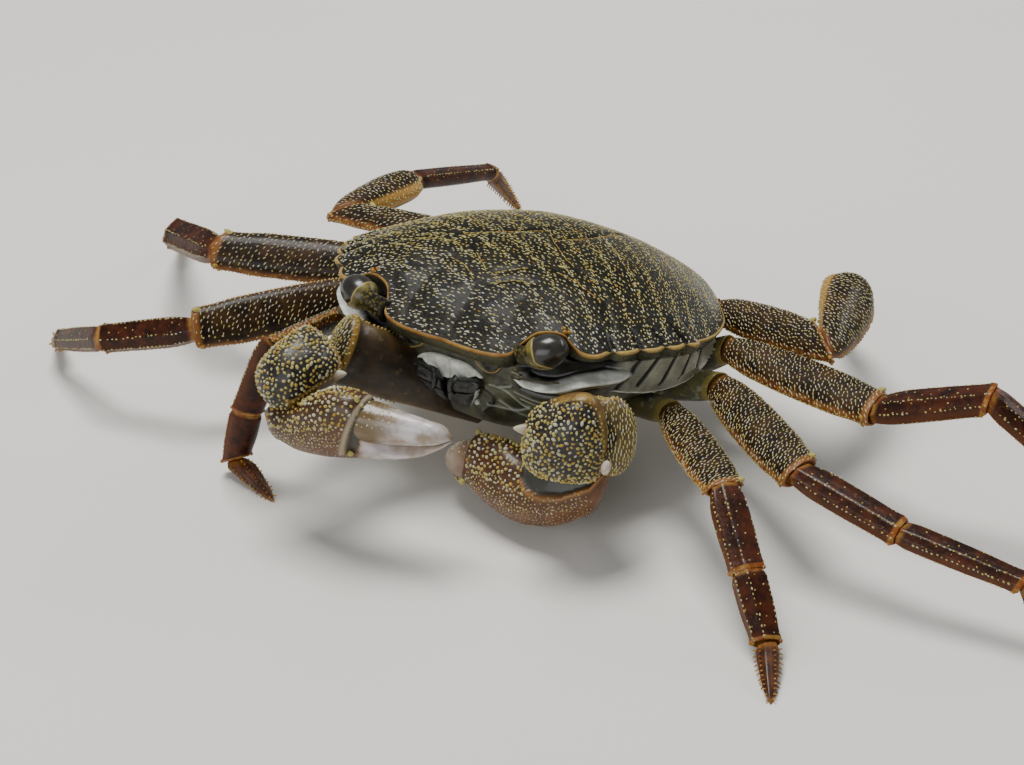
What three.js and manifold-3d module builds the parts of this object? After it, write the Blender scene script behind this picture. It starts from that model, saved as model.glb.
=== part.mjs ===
// A grapsid shore crab at life size, standing on its eight walking legs with both claws folded before its
// mouth. +X is the crab's left, -Y is forward, +Z is up, and the tips of the walking legs lie on z = 0.
// All lengths are mm. The shell and face are built level in the body's own frame, whose origin is the middle
// of the shell's margin, and the body group then pitches and rolls them. Limbs are built in the floor's frame,
// from the body's sockets outwards.
import * as THREE from "three";
import { mergeVertices } from "three/addons/utils/BufferGeometryUtils.js";
import Module from "manifold-3d";

const wasm = await Module();
wasm.setup();

// ---- Driving dimensions ----
const SHELL_WIDTH = 52; // across the carapace between the last side lobes
const BODY_HEIGHT = 22.2; // of the margin's middle above the floor
const BODY_PITCH = 8.2; // degrees, front up
const BODY_ROLL = 3.8; // degrees, left side down
const GAP = 0.3; // between two pieces that meet
const RIM = 0.02 * SHELL_WIDTH; // thickness of the carapace at its margin
const DOME = 0.118 * SHELL_WIDTH; // height of the carapace over its margin
const LIMB_SIDES = 10; // facets round a limb
const CLAW_SIDES = 14; // facets round a palm or wrist

// ---- Colours and finishes ----
const finish = (color, roughness = 0.35) => new THREE.MeshStandardMaterial({ color, roughness, metalness: 0 });
const shellFinish = finish(0x2c2a1c, 0.3);
const faceFinish = finish(0x8d9584, 0.4);
const bellyFinish = finish(0xb9ae93, 0.5);
const mouthFinish = finish(0x24261f, 0.3);
const stalkFinish = finish(0x7d7c33, 0.4);
const feelerFinish = finish(0x6b5a35, 0.4);
const eyeFinish = finish(0x3b3a36, 0.1);
const hipFinish = finish(0x8f8a5c, 0.45);
const thighFinish = finish(0x3d2c1e, 0.35);
const shinFinish = finish(0x4b231b, 0.3);
const toeFinish = finish(0x7a2f1a, 0.35);
const armFinish = finish(0x5a4b2c, 0.4);
const wristFinish = finish(0x2f3036, 0.35);
const palmFinish = finish(0xa8623d, 0.4);
const fingerFinish = finish(0xd9d3d3, 0.25);

// ---- Small geometry kit ----
const vec = (x, y, z) => new THREE.Vector3(x, y, z);
const radians = THREE.MathUtils.degToRad;
const smoothstep = THREE.MathUtils.smoothstep;
const mix = THREE.MathUtils.lerp;
const onShell = (x, y, z) => vec(x, y, z).multiplyScalar(SHELL_WIDTH); // a place given in shell widths

// A closed solid from rings of equal length. Each end is closed by a fan about the given or the mean point.
function closedRings(rings, startPole, endPole) {
  const sides = rings[0].length;
  const mean = (ring) => ring.reduce((sum, p) => sum.add(p), vec(0, 0, 0)).divideScalar(sides);
  const points = [...rings.flat(), startPole ?? mean(rings[0]), endPole ?? mean(rings.at(-1))];
  const start = points.length - 2;
  const end = points.length - 1;
  const faces = [];
  for (let j = 0; j < sides; j++) {
    const k = (j + 1) % sides;
    faces.push(start, k, j);
    for (let i = 0; i + 1 < rings.length; i++) {
      const a = i * sides;
      const b = a + sides;
      faces.push(a + j, a + k, b + k, a + j, b + k, b + j);
    }
    const last = (rings.length - 1) * sides;
    faces.push(end, last + j, last + k);
  }
  if (enclosedVolume(points, faces) < 0) faces.reverse();
  const geometry = new THREE.BufferGeometry().setFromPoints(points);
  geometry.setIndex(faces);
  return geometry;
}

function enclosedVolume(points, faces) {
  let volume = 0;
  const normal = vec(0, 0, 0);
  for (let i = 0; i < faces.length; i += 3) {
    normal.crossVectors(points[faces[i + 1]], points[faces[i + 2]]);
    volume += points[faces[i]].dot(normal) / 6;
  }
  return volume;
}

// A squarish oval of the given half sizes, as a list of [across, through] pairs.
function oval(sides, halfWidth, halfDepth, squareness = 0.85) {
  const power = (v) => Math.sign(v) * Math.abs(v) ** squareness;
  return Array.from({ length: sides }, (_, j) => {
    const angle = (2 * Math.PI * j) / sides;
    return [halfWidth * power(Math.cos(angle)), halfDepth * power(Math.sin(angle))];
  });
}

function toSolid(geometry) {
  const bare = new THREE.BufferGeometry();
  bare.setAttribute("position", geometry.attributes.position);
  bare.setIndex(geometry.index);
  const merged = mergeVertices(bare);
  const mesh = new wasm.Mesh({
    numProp: 3,
    vertProperties: merged.attributes.position.array,
    triVerts: new Uint32Array(merged.index.array),
  });
  return new wasm.Manifold(mesh);
}

function toGeometry(solid) {
  const mesh = solid.getMesh();
  const geometry = new THREE.BufferGeometry();
  geometry.setAttribute("position", new THREE.BufferAttribute(mesh.vertProperties, 3));
  geometry.setIndex(new THREE.BufferAttribute(mesh.triVerts, 1));
  return geometry;
}

// What is left of a piece after its neighbours are cut out of it: the largest body, without loose slivers.
function carve(geometry, ...neighbours) {
  const cut = neighbours.reduce((solid, other) => solid.subtract(toSolid(other)), toSolid(geometry));
  const bodies = cut.decompose().sort((a, b) => b.volume() - a.volume());
  return toGeometry(bodies[0]);
}

// Two overlapping pieces as one solid.
function join(geometry, addition) {
  return toGeometry(toSolid(geometry).add(toSolid(addition)));
}

const crab = new THREE.Group();
const body = new THREE.Group();
crab.add(body);
body.position.z = BODY_HEIGHT;
body.rotation.set(-radians(BODY_PITCH), radians(BODY_ROLL), 0);
body.updateMatrixWorld(true);

function addPiece(parent, name, geometry, material) {
  const shaded = geometry.toNonIndexed();
  shaded.computeVertexNormals();
  const mesh = new THREE.Mesh(shaded, material);
  mesh.name = name;
  parent.add(mesh);
}

const SIDES = { left: 1, right: -1 }; // the sign of x

// ---- Carapace ----
// The left half of the margin, in shell widths, from the middle of the brow round to that of the rear edge.
const BROW = [
  [0, -0.445, -0.043],
  [0.07, -0.448, -0.044],
  [0.14, -0.445, -0.04],
  [0.188, -0.428, -0.028],
];
const ORBIT = [
  [0.2, -0.4, -0.012],
  [0.225, -0.377, 0.01],
  [0.265, -0.364, 0.02],
  [0.31, -0.358, 0.018],
  [0.352, -0.352, 0.008],
];
const LOBE_ENDS = [
  [0.386, -0.342, 0],
  [0.403, -0.307, 0.005],
  [0.443, -0.243, 0.004],
  [0.473, -0.174, -0.002],
  [0.495, -0.107, -0.009],
  [0.503, -0.049, -0.02],
];
const LOBE_BULGE = 0.013;
const LOBE_FULLNESS = [1.3, 0.7]; // at the front and the rear end of a lobe
const FLANK = [
  [0.501, 0.01, -0.032],
  [0.489, 0.085, -0.044],
  [0.46, 0.177, -0.051],
  [0.408, 0.262, -0.057],
  [0.336, 0.351, -0.056],
  [0.262, 0.412, -0.048],
];
const REAR = [
  [0.2, 0.43, -0.044],
  [0.1, 0.434, -0.038],
  [0, 0.435, -0.036],
];

// Each side lobe is a low arc from one notch to the next, fullest towards its front.
function lobes() {
  const points = [];
  for (let i = 0; i + 1 < LOBE_ENDS.length; i++) {
    const [ax, ay, az] = LOBE_ENDS[i];
    const [bx, by, bz] = LOBE_ENDS[i + 1];
    const chord = Math.hypot(bx - ax, by - ay);
    points.push([ax, ay, az]);
    for (const t of [0.3, 0.7]) {
      const out = LOBE_BULGE * mix(...LOBE_FULLNESS, t);
      const x = mix(ax, bx, t) + (out * (by - ay)) / chord;
      const y = mix(ay, by, t) - (out * (bx - ax)) / chord;
      points.push([x, y, mix(az, bz, t)]);
    }
  }
  points.push(LOBE_ENDS.at(-1));
  return points;
}

function mirrored(half) {
  const other = half.slice(1, -1).reverse().map(([x, y, z]) => [-x, y, z]);
  return [...half, ...other];
}

const margin = mirrored([...BROW, ...ORBIT, ...lobes(), ...FLANK, ...REAR]);

// The margin with its notches ironed out: each pass moves every point half way to the mean of its neighbours.
function ironed(outline, passes) {
  let points = outline;
  for (let pass = 0; pass < passes; pass++) {
    points = points.map((p, i) => {
      const before = points.at(i - 1);
      const after = points[(i + 1) % points.length];
      return p.map((v, axis) => mix(v, (before[axis] + after[axis]) / 2, 0.5));
    });
  }
  return points;
}

const ironedMargin = ironed(margin, 12);
const EDGE_SHARPENS = 0.72; // share of the way out from which the shell's surface takes on the notches
const DOME_POWER = 2.5; // how much flatter the crown is than the shoulders
const SHELL_RINGS = [0.14, 0.35, 0.55, 0.72, 0.85, 0.94, 1];
const LIP = 0.995; // of the margin, where the rim turns under

// Height of the surface that parts the carapace from the face and flanks below it, in shell widths.
function seam(y) {
  return -0.024 - 0.052 * smoothstep(y, -0.3, 0.22) - 0.05 * (1 - smoothstep(y, -0.425, -0.37));
}

// Rounded swellings of the shell: behind the brow, over the gills, the stomach and the heart.
const SWELLINGS = [
  { x: 0.07, y: -0.365, wide: 0.06, long: 0.045, high: 0.02 },
  { x: 0.185, y: -0.345, wide: 0.05, long: 0.04, high: 0.014 },
  { x: 0.0, y: -0.12, wide: 0.15, long: 0.12, high: 0.006 },
  { x: 0.3, y: 0.02, wide: 0.13, long: 0.16, high: 0.008 },
];

function swell(x, y) {
  return SWELLINGS.reduce((sum, s) => {
    const reach = ((Math.abs(x) - s.x) / s.wide) ** 2 + ((y - s.y) / s.long) ** 2;
    return sum + s.high * Math.exp(-reach);
  }, 0);
}

// A ring of the shell's upper face, at a share of the way from its middle out to the margin.
function shellRing(share) {
  const crown = DOME / SHELL_WIDTH;
  const sharp = smoothstep(share, EDGE_SHARPENS, 1);
  const fade = smoothstep(1 - share, 0, 0.12);
  return margin.map((edge, i) => {
    const [x, y, z] = edge.map((v, axis) => mix(ironedMargin[i][axis], v, sharp));
    const height = mix(crown, z, share ** DOME_POWER) + fade * swell(x * share, y * share);
    return onShell(x * share, y * share, height);
  });
}

function carapace() {
  const overSeam = (x, y) => onShell(x, y, seam(y)).add(vec(0, 0, GAP / 2));
  const under = (share) => margin.map(([x, y]) => overSeam(x * share, y * share));
  const lip = margin.map(([x, y, z]) => onShell(x * LIP, y * LIP, z).sub(vec(0, 0, 0.45 * RIM)));
  const crown = onShell(0, 0, DOME / SHELL_WIDTH + swell(0, 0));
  const rings = [...SHELL_RINGS.map(shellRing), lip, under(0.975), under(0.86), under(0.55)];
  return closedRings(rings, crown, overSeam(0, 0));
}

// ---- Face, flanks and breastplate, one solid below the carapace ----
// The left half of the body's outline just below the carapace, in shell widths.
const WAIST = [
  [0, -0.405],
  [0.1, -0.408],
  [0.2, -0.404],
  [0.3, -0.378],
  [0.375, -0.318],
  [0.43, -0.235],
  [0.468, -0.14],
  [0.483, -0.04],
  [0.477, 0.06],
  [0.447, 0.165],
  [0.385, 0.258],
  [0.3, 0.34],
  [0.2, 0.392],
  [0.1, 0.405],
  [0, 0.408],
];
// Height in shell widths, then how much of the waist is left across, in front and behind.
const LEVELS = [
  [-0.11, 1.0, 0.985, 0.98],
  [-0.15, 0.95, 0.96, 0.92],
  [-0.18, 0.84, 0.93, 0.82],
  [-0.23, 0.68, 0.89, 0.7],
  [-0.27, 0.56, 0.84, 0.6],
  [-0.285, 0.42, 0.7, 0.45],
];

const WAIST_RADIUS = 0.4 * SHELL_WIDTH;

// The solid below the carapace, or with a margin of clearance round it.
function underside(grow = 0) {
  const outline = mirrored(WAIST);
  const widened = 1 + grow / WAIST_RADIUS;
  const lidDrop = vec(0, 0, 1.6 * GAP - grow);
  const lid = (share) => outline.map(([x, y]) => onShell(x * share, y * share, seam(y * share)).sub(lidDrop));
  const ring = ([z, across, front, behind]) =>
    outline.map(([x, y]) => {
      const length = y < 0 ? front : behind;
      return onShell(x * across * widened, y * length * widened, z).sub(vec(0, 0, grow));
    });
  return closedRings([lid(0.55), lid(0.9), lid(widened), ...LEVELS.map(ring)]);
}

// The tail, folded forward under the body as a tapering plate that follows the rear wall and the breastplate.
function abdomen() {
  const path = [
    [0.37, -0.12, 0.2],
    [0.335, -0.2, 0.22],
    [0.24, -0.27, 0.24],
    [0.1, -0.3, 0.22],
    [-0.06, -0.305, 0.14],
    [-0.16, -0.3, 0.05],
  ];
  const halfThick = 0.02;
  const rings = path.map(([y, z, halfWide], i) => {
    const [y0, z0] = path[Math.max(i - 1, 0)];
    const [y1, z1] = path[Math.min(i + 1, path.length - 1)];
    const along = Math.hypot(y1 - y0, z1 - z0);
    const [ny, nz] = [-(z1 - z0) / along, (y1 - y0) / along];
    return oval(12, halfWide, halfThick).map(([a, b]) => onShell(a, y + b * ny, z + b * nz));
  });
  return carve(closedRings(rings), underside(GAP));
}

// A mouth cover: an upright plate with a rounded outer face that leans back towards its foot.
function maxilliped(side) {
  const stations = [
    [-0.115, -0.42, 0.03],
    [-0.16, -0.418, 0.048],
    [-0.22, -0.4, 0.05],
    [-0.27, -0.375, 0.042],
    [-0.305, -0.345, 0.022],
  ];
  const rings = stations.map(([z, y, halfWide]) =>
    oval(10, halfWide, 0.026).map(([a, b]) => onShell(side * (0.062 + a), y + b, z)),
  );
  return carve(closedRings(rings), underside(GAP));
}

// ---- Eyes and feelers ----
const STALK_ROOT = [0.205, -0.425, -0.03];
const EYE = [0.292, -0.425, 0.004];
const EYE_SIZE = [0.05, 0.036, 0.04];
const EYE_TURN = 20; // degrees, outer end backwards

function ellipsoid(center, axes, rings, sides, squareness = 1) {
  const [along, across, through] = axes;
  const list = [];
  for (let i = 1; i < rings; i++) {
    const angle = (Math.PI * i) / rings;
    const reach = Math.sin(angle) ** squareness;
    list.push(
      oval(sides, reach, reach, squareness).map(([a, b]) =>
        center
          .clone()
          .addScaledVector(along, -Math.cos(angle))
          .addScaledVector(across, a)
          .addScaledVector(through, b),
      ),
    );
  }
  return closedRings(list, center.clone().sub(along), center.clone().add(along));
}

function eye(side, grow = 0) {
  const [x, y, z] = EYE;
  const [a, b, c] = EYE_SIZE.map((v) => v * SHELL_WIDTH + grow);
  const tilt = radians(EYE_TURN) * side;
  const along = vec(Math.cos(tilt), Math.sin(tilt), 0.12 * side).normalize();
  const across = vec(-along.y, along.x, 0).normalize();
  const through = along.clone().cross(across);
  return ellipsoid(
    onShell(side * x, y, z),
    [along.multiplyScalar(a), across.multiplyScalar(b), through.multiplyScalar(c)],
    8,
    12,
  );
}

function eyestalk(side) {
  const root = onShell(side * STALK_ROOT[0], STALK_ROOT[1], STALK_ROOT[2]);
  const tip = onShell(side * EYE[0], EYE[1], EYE[2]);
  const reach = tip.clone().sub(root);
  const across = vec(0, 1, 0);
  const through = reach.clone().cross(across).normalize();
  const rings = [
    [0, 0.022],
    [0.3, 0.027],
    [0.62, 0.032],
    [1, 0.033],
  ].map(([t, radius]) =>
    oval(12, radius, radius, 1).map(([a, b]) =>
      root
        .clone()
        .addScaledVector(reach, t)
        .addScaledVector(across, a * SHELL_WIDTH)
        .addScaledVector(through, b * SHELL_WIDTH),
    ),
  );
  return carve(closedRings(rings), eye(side, GAP));
}

// A short feeler that lies along the lower edge of the eye socket.
function antenna(side) {
  const path = [
    [0.215, -0.44, -0.072, 0.011],
    [0.25, -0.442, -0.066, 0.009],
    [0.3, -0.438, -0.06, 0.007],
    [0.35, -0.424, -0.058, 0.006],
  ];
  const rings = path.map(([x, y, z, radius]) =>
    oval(8, radius, radius, 1).map(([a, b]) => onShell(side * x, y + a, z + b)),
  );
  return carve(closedRings(rings), underside(GAP));
}

addPiece(body, "carapace", carapace(), shellFinish);
addPiece(body, "underside", underside(), faceFinish);
addPiece(body, "abdomen", abdomen(), bellyFinish);
for (const [label, side] of Object.entries(SIDES)) {
  addPiece(body, `maxilliped_${label}`, maxilliped(side), mouthFinish);
  addPiece(body, `eye_${label}`, eye(side), eyeFinish);
  addPiece(body, `eyestalk_${label}`, eyestalk(side), stalkFinish);
  addPiece(body, `antenna_${label}`, antenna(side), feelerFinish);
}

// ---- Limbs ----
const trunkOnFloor = underside(GAP).applyMatrix4(body.matrixWorld);
const shellGrowth = 1 + (2 * GAP) / SHELL_WIDTH;
const shellOnFloor = carapace()
  .scale(shellGrowth, shellGrowth, 1)
  .translate(0, 0, -GAP)
  .applyMatrix4(body.matrixWorld);
const fromBody = (x, y, z) => onShell(x, y, z).applyMatrix4(body.matrixWorld);

// A direction from a heading, in degrees forward of straight out to the side, and a slope, in degrees up.
function aim(side, heading, slope) {
  const level = Math.cos(radians(slope));
  const out = Math.cos(radians(heading)) * level;
  const forward = Math.sin(radians(heading)) * level;
  return vec(side * out, -forward, Math.sin(radians(slope)));
}

// Width and depth along a limb segment: share of the way along, then of the full width and the full depth.
const ISCHIUM = [
  [0, 1, 1],
  [0.6, 1, 1],
  [1, 0.85, 0.9],
];
const MERUS = [
  [0, 0.6, 0.75],
  [0.12, 0.85, 0.95],
  [0.45, 1, 1],
  [0.8, 0.9, 0.95],
  [0.94, 0.74, 0.9],
  [1, 0.58, 0.75],
];
const CARPUS = [
  [0, 0.55, 0.7],
  [0.25, 0.82, 0.95],
  [0.65, 1, 1],
  [0.9, 0.92, 0.95],
  [1, 0.78, 0.8],
];
const PROPODUS = [
  [0, 0.75, 0.8],
  [0.18, 1, 1],
  [0.6, 0.94, 0.95],
  [0.92, 0.8, 0.85],
  [1, 0.7, 0.75],
];
const DACTYLUS = [
  [0, 0.8, 0.8],
  [0.15, 1, 1],
  [0.5, 0.72, 0.78],
  [0.8, 0.45, 0.5],
  [1, 0.26, 0.32],
];

// A segment between two planes. Every line along it runs from the first plane to the second, so that it meets its
// neighbours face to face at any bend. The planes are given by a point on the axis and a normal.
function segment({ from, to, startNormal, endNormal, broad, width, depth, profile }) {
  const along = to.clone().sub(from);
  const length = along.length();
  along.normalize();
  const across = broad.clone().addScaledVector(along, -broad.dot(along)).normalize();
  const through = along.clone().cross(across);
  const rings = profile.map(([t, wide, deep]) =>
    oval(LIMB_SIDES, (width / 2) * wide, (depth / 2) * deep).map(([a, b]) => {
      const offset = vec(0, 0, 0).addScaledVector(across, a).addScaledVector(through, b);
      const first = (GAP / 2 - offset.dot(startNormal)) / along.dot(startNormal);
      const last = length - (GAP / 2 + offset.dot(endNormal)) / along.dot(endNormal);
      return from.clone().add(offset).addScaledVector(along, mix(first, last, t));
    }),
  );
  return closedRings(rings);
}

// Walking legs, counted from the claws back. The socket lies in shell widths from the body's middle, and lengths
// and widths run merus, carpus, propodus, dactylus.
const LEGS = {
  2: { socket: [0.35, -0.12, -0.2], lengths: [22.6, 11.8, 9.0, 8.8], widths: [6.2, 5.4, 5.4, 3.6] },
  3: { socket: [0.38, 0.03, -0.2], lengths: [27.1, 15.2, 16.4, 10.7], widths: [6.9, 4.9, 4.2, 3.0] },
  4: { socket: [0.36, 0.15, -0.19], lengths: [27.7, 15.8, 18.0, 11.8], widths: [6.9, 5.0, 4.2, 3.0] },
  5: { socket: [0.27, 0.25, -0.16], lengths: [21.2, 15.0, 18.2, 12.4], widths: [6.2, 6.2, 4.8, 3.0] },
};
const DEPTH_OF_WIDTH = [0.52, 0.62, 0.64, 0.8];
const HIP_OF_THIGH = 0.72; // width of the ischium over that of the merus
const HIP_DEPTH = 0.9;
// The hip in shell widths from the body's middle, then heading and slope of merus, carpus and propodus, the
// heading of the dactylus, and the roll of the broad faces about the leg.
const STANCES = [
  { label: "left", leg: 2, hip: [0.5, -0.15, -0.18], turns: [44, 3, 46, -29, 43, -42, 60], roll: 5 },
  { label: "left", leg: 3, hip: [0.535, 0.03, -0.157], turns: [40, 3, 8, -12, 1, -8, 1], roll: 20 },
  { label: "left", leg: 4, hip: [0.487, 0.165, -0.112], turns: [19, 4, -3, 18, -8, -37, -8], roll: 20 },
  { label: "left", leg: 5, hip: [0.37, 0.325, -0.09], turns: [20, 9, -101, 4, -122, -36, -135], roll: 30 },
  { label: "right", leg: 2, hip: [0.43, -0.17, -0.17], turns: [95, 13, 3, -64, -5, -71, 157], roll: -50 },
  { label: "right", leg: 3, hip: [0.46, -0.02, -0.17], turns: [52, 0, 10, -14, -24, -23, -46], roll: 35 },
  { label: "right", leg: 4, hip: [0.47, 0.12, -0.155], turns: [23, 5, -27, -12, -51, -26, -55], roll: 20 },
  { label: "right", leg: 5, hip: [0.42, 0.31, -0.095], turns: [-3, -3, -94, -3, -100, -16, -88], roll: 5 },
];

function walkingLeg({ label, leg, hip, turns, roll }) {
  const side = SIDES[label];
  const { socket, lengths, widths } = LEGS[leg];
  const joints = [socket, hip].map(([x, y, z]) => fromBody(side * x, y, z));
  for (let i = 0; i < 3; i++) {
    const way = aim(side, turns[2 * i], turns[2 * i + 1]);
    joints.push(joints.at(-1).clone().addScaledVector(way, lengths[i]));
  }
  const knuckle = joints.at(-1);
  const dip = THREE.MathUtils.radToDeg(Math.asin(knuckle.z / lengths[3]));
  joints.push(knuckle.clone().addScaledVector(aim(side, turns[6], -dip), lengths[3]));

  const ways = joints.slice(1).map((p, i) => p.clone().sub(joints[i]).normalize());
  const mitre = (i) => ways[i - 1].clone().add(ways[i]).normalize();
  const names = ["ischium", "merus", "carpus", "propodus", "dactylus"];
  const profiles = [ISCHIUM, MERUS, CARPUS, PROPODUS, DACTYLUS];
  const finishes = [hipFinish, thighFinish, shinFinish, shinFinish, toeFinish];
  names.forEach((name, i) => {
    const k = Math.max(i - 1, 0);
    const width = i === 0 ? HIP_OF_THIGH * widths[0] : widths[k];
    const depth = i === 0 ? HIP_DEPTH * width : DEPTH_OF_WIDTH[k] * width;
    const level = ways[i].clone().cross(vec(0, 0, 1)).normalize().multiplyScalar(side);
    const broad = level.applyAxisAngle(ways[i], radians(roll) * side);
    const piece = segment({
      from: joints[i],
      to: joints[i + 1],
      startNormal: i === 0 ? ways[0] : mitre(i),
      endNormal: i === 4 ? vec(0, 0, -1) : mitre(i + 1),
      broad,
      width,
      depth,
      profile: profiles[i],
    });
    if (i === 4) piece.translate(0, 0, -GAP / 2);
    const shaped = i < 2 ? carve(piece, trunkOnFloor, shellOnFloor) : piece;
    addPiece(crab, `leg${leg}_${label}_${name}`, shaped, finishes[i]);
  });
}

STANCES.forEach(walkingLeg);

// ---- Claws ----
const CLAW_LENGTH = 24.6; // wrist to finger tips
const CLAW_BOW = 3.6; // how far the tips bend back towards the mouth
const CARPUS_SIZE = [6.0, 5.3, 4.6]; // half lengths along the wrist, across it and through it
// Share of the way from the carpus's middle to the spine's tip, then radius.
const SPINE = [
  [0.3, 2.4],
  [0.8, 1.5],
  [1, 0.3],
];
// Share of the claw's length, then its top, bottom and thickness as shares of that length.
const PALM = [
  [0.02, 0.08, 0.09, 0.12],
  [0.1, 0.15, 0.15, 0.2],
  [0.26, 0.195, 0.19, 0.26],
  [0.44, 0.2, 0.19, 0.25],
  [0.54, 0.185, 0.18, 0.22],
  [0.575, 0.01, 0.17, 0.19],
  [0.72, -0.02, 0.14, 0.14],
  [0.88, -0.028, 0.1, 0.1],
  [0.97, -0.03, 0.07, 0.06],
  [1, -0.035, 0.055, 0.03],
];
const FINGER = [
  [0.575, 0.15, -0.04, 0.14],
  [0.62, 0.165, -0.02, 0.15],
  [0.74, 0.14, 0.0, 0.13],
  [0.88, 0.09, 0.008, 0.1],
  [0.97, 0.035, 0.012, 0.065],
  [1, 0.005, 0.016, 0.03],
];
// The root lies in shell widths from the body's middle, the other places in mm on the floor's frame. The heading
// and up set the palm, the dome faces out of the wrist's back, the spine's tip is counted from the carpus's middle,
// and the lift raises the finger tips off the palm's axis.
const CHELIPEDS = [
  {
    label: "left",
    root: [0.2, -0.24, -0.26],
    elbow: [26.6, -25.4, 17.2],
    wrist: [23.2, -25.9, 8.2],
    carpus: [20.9, -28.6, 15.2],
    heading: [-1, -0.04, -0.17],
    up: [0, 0.3, 1],
    dome: [0.4, -0.85, 0.4],
    spine: [-6.2, -2.1, 3.2],
    lift: 3,
    size: 1,
  },
  {
    label: "right",
    root: [0.15, -0.27, -0.27],
    elbow: [-11.0, -30.9, 23.6],
    wrist: [-16.2, -38.8, 17.2],
    carpus: [-14.4, -35.4, 21.6],
    heading: [1, -0.03, 0],
    up: [0, -0.3, 1],
    dome: [-0.5, -0.7, 0.5],
    spine: [5.6, 1.8, -3.0],
    lift: -1,
    size: 0.94,
  },
];

function frameOf({ heading, up }) {
  const along = vec(...heading).normalize();
  const top = vec(...up);
  top.addScaledVector(along, -top.dot(along)).normalize();
  const inward = vec(0, 1, 0);
  inward.addScaledVector(along, -inward.dot(along)).addScaledVector(top, -inward.dot(top)).normalize();
  return { along, top, inward };
}

function clawPiece({ wrist, lift }, frame, stations) {
  const rings = stations.map(([t, top, bottom, thick]) => {
    const center = vec(...wrist)
      .addScaledVector(frame.along, t * CLAW_LENGTH)
      .addScaledVector(frame.inward, CLAW_BOW * t * t)
      .addScaledVector(frame.top, (CLAW_LENGTH * (top - bottom)) / 2 + lift * t * t);
    return oval(CLAW_SIDES, (CLAW_LENGTH * thick) / 2, (CLAW_LENGTH * (top + bottom)) / 2).map(([a, b]) =>
      center.clone().addScaledVector(frame.inward, a).addScaledVector(frame.top, b),
    );
  });
  return closedRings(rings);
}

function wristBlock({ elbow, wrist, carpus, dome, size }, grow = 0) {
  const [halfLong, halfWide, halfDeep] = CARPUS_SIZE.map((v) => v * size + grow);
  const along = vec(...wrist).sub(vec(...elbow)).normalize();
  const through = vec(...dome);
  through.addScaledVector(along, -through.dot(along)).normalize();
  const across = along.clone().cross(through);
  return ellipsoid(
    vec(...carpus),
    [along.multiplyScalar(halfLong), across.multiplyScalar(halfWide), through.multiplyScalar(halfDeep)],
    8,
    CLAW_SIDES,
    0.85,
  );
}

// The pointed spine on the inner corner of the wrist.
function wristSpine({ carpus, spine }, grow = 0) {
  const way = vec(...spine);
  const across = way.clone().cross(vec(0, 1, 0)).normalize();
  const through = way.clone().cross(across).normalize();
  const rings = SPINE.map(([t, radius]) =>
    oval(8, radius + grow, radius + grow, 1).map(([a, b]) =>
      vec(...carpus).addScaledVector(way, t).addScaledVector(across, a).addScaledVector(through, b),
    ),
  );
  return closedRings(rings);
}

// Share of the way from shoulder to elbow, then width and depth.
const ARM = [
  [0, 5.6, 4.6],
  [0.35, 6.8, 4.8],
  [0.75, 8.6, 5.6],
  [1, 9.0, 5.8],
];

function arm(root, { elbow, dome }) {
  const end = vec(...elbow);
  const along = end.clone().sub(root).normalize();
  const across = vec(...dome).cross(along).normalize();
  const through = along.clone().cross(across);
  const rings = ARM.map(([t, wide, deep]) =>
    oval(LIMB_SIDES, wide / 2, deep / 2).map(([a, b]) =>
      root.clone().lerp(end, t).addScaledVector(across, a).addScaledVector(through, b),
    ),
  );
  return closedRings(rings);
}

for (const claw of CHELIPEDS) {
  const [x, y, z] = claw.root;
  const root = fromBody(SIDES[claw.label] * x, y, z);
  const frame = frameOf(claw);
  const grownCarpus = wristBlock(claw, GAP);
  const upperArm = carve(arm(root, claw), grownCarpus, wristSpine(claw, GAP), trunkOnFloor);
  addPiece(crab, `claw_${claw.label}_merus`, upperArm, armFinish);
  const carpus = join(wristBlock(claw), wristSpine(claw));
  addPiece(crab, `claw_${claw.label}_carpus`, carpus, wristFinish);
  addPiece(crab, `claw_${claw.label}_palm`, carve(clawPiece(claw, frame, PALM), grownCarpus), palmFinish);
  addPiece(crab, `claw_${claw.label}_finger`, clawPiece(claw, frame, FINGER), fingerFinish);
}

// The finished part stands on the floor with the middle of its outline over the origin.
const extent = new THREE.Box3().setFromObject(crab);
crab.position.x -= (extent.min.x + extent.max.x) / 2;
crab.position.y -= (extent.min.y + extent.max.y) / 2;

const part = new THREE.Group();
part.add(crab);

export default part;
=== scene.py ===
import math

import bpy
import numpy as np
from mathutils import Matrix, Vector, kdtree


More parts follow.
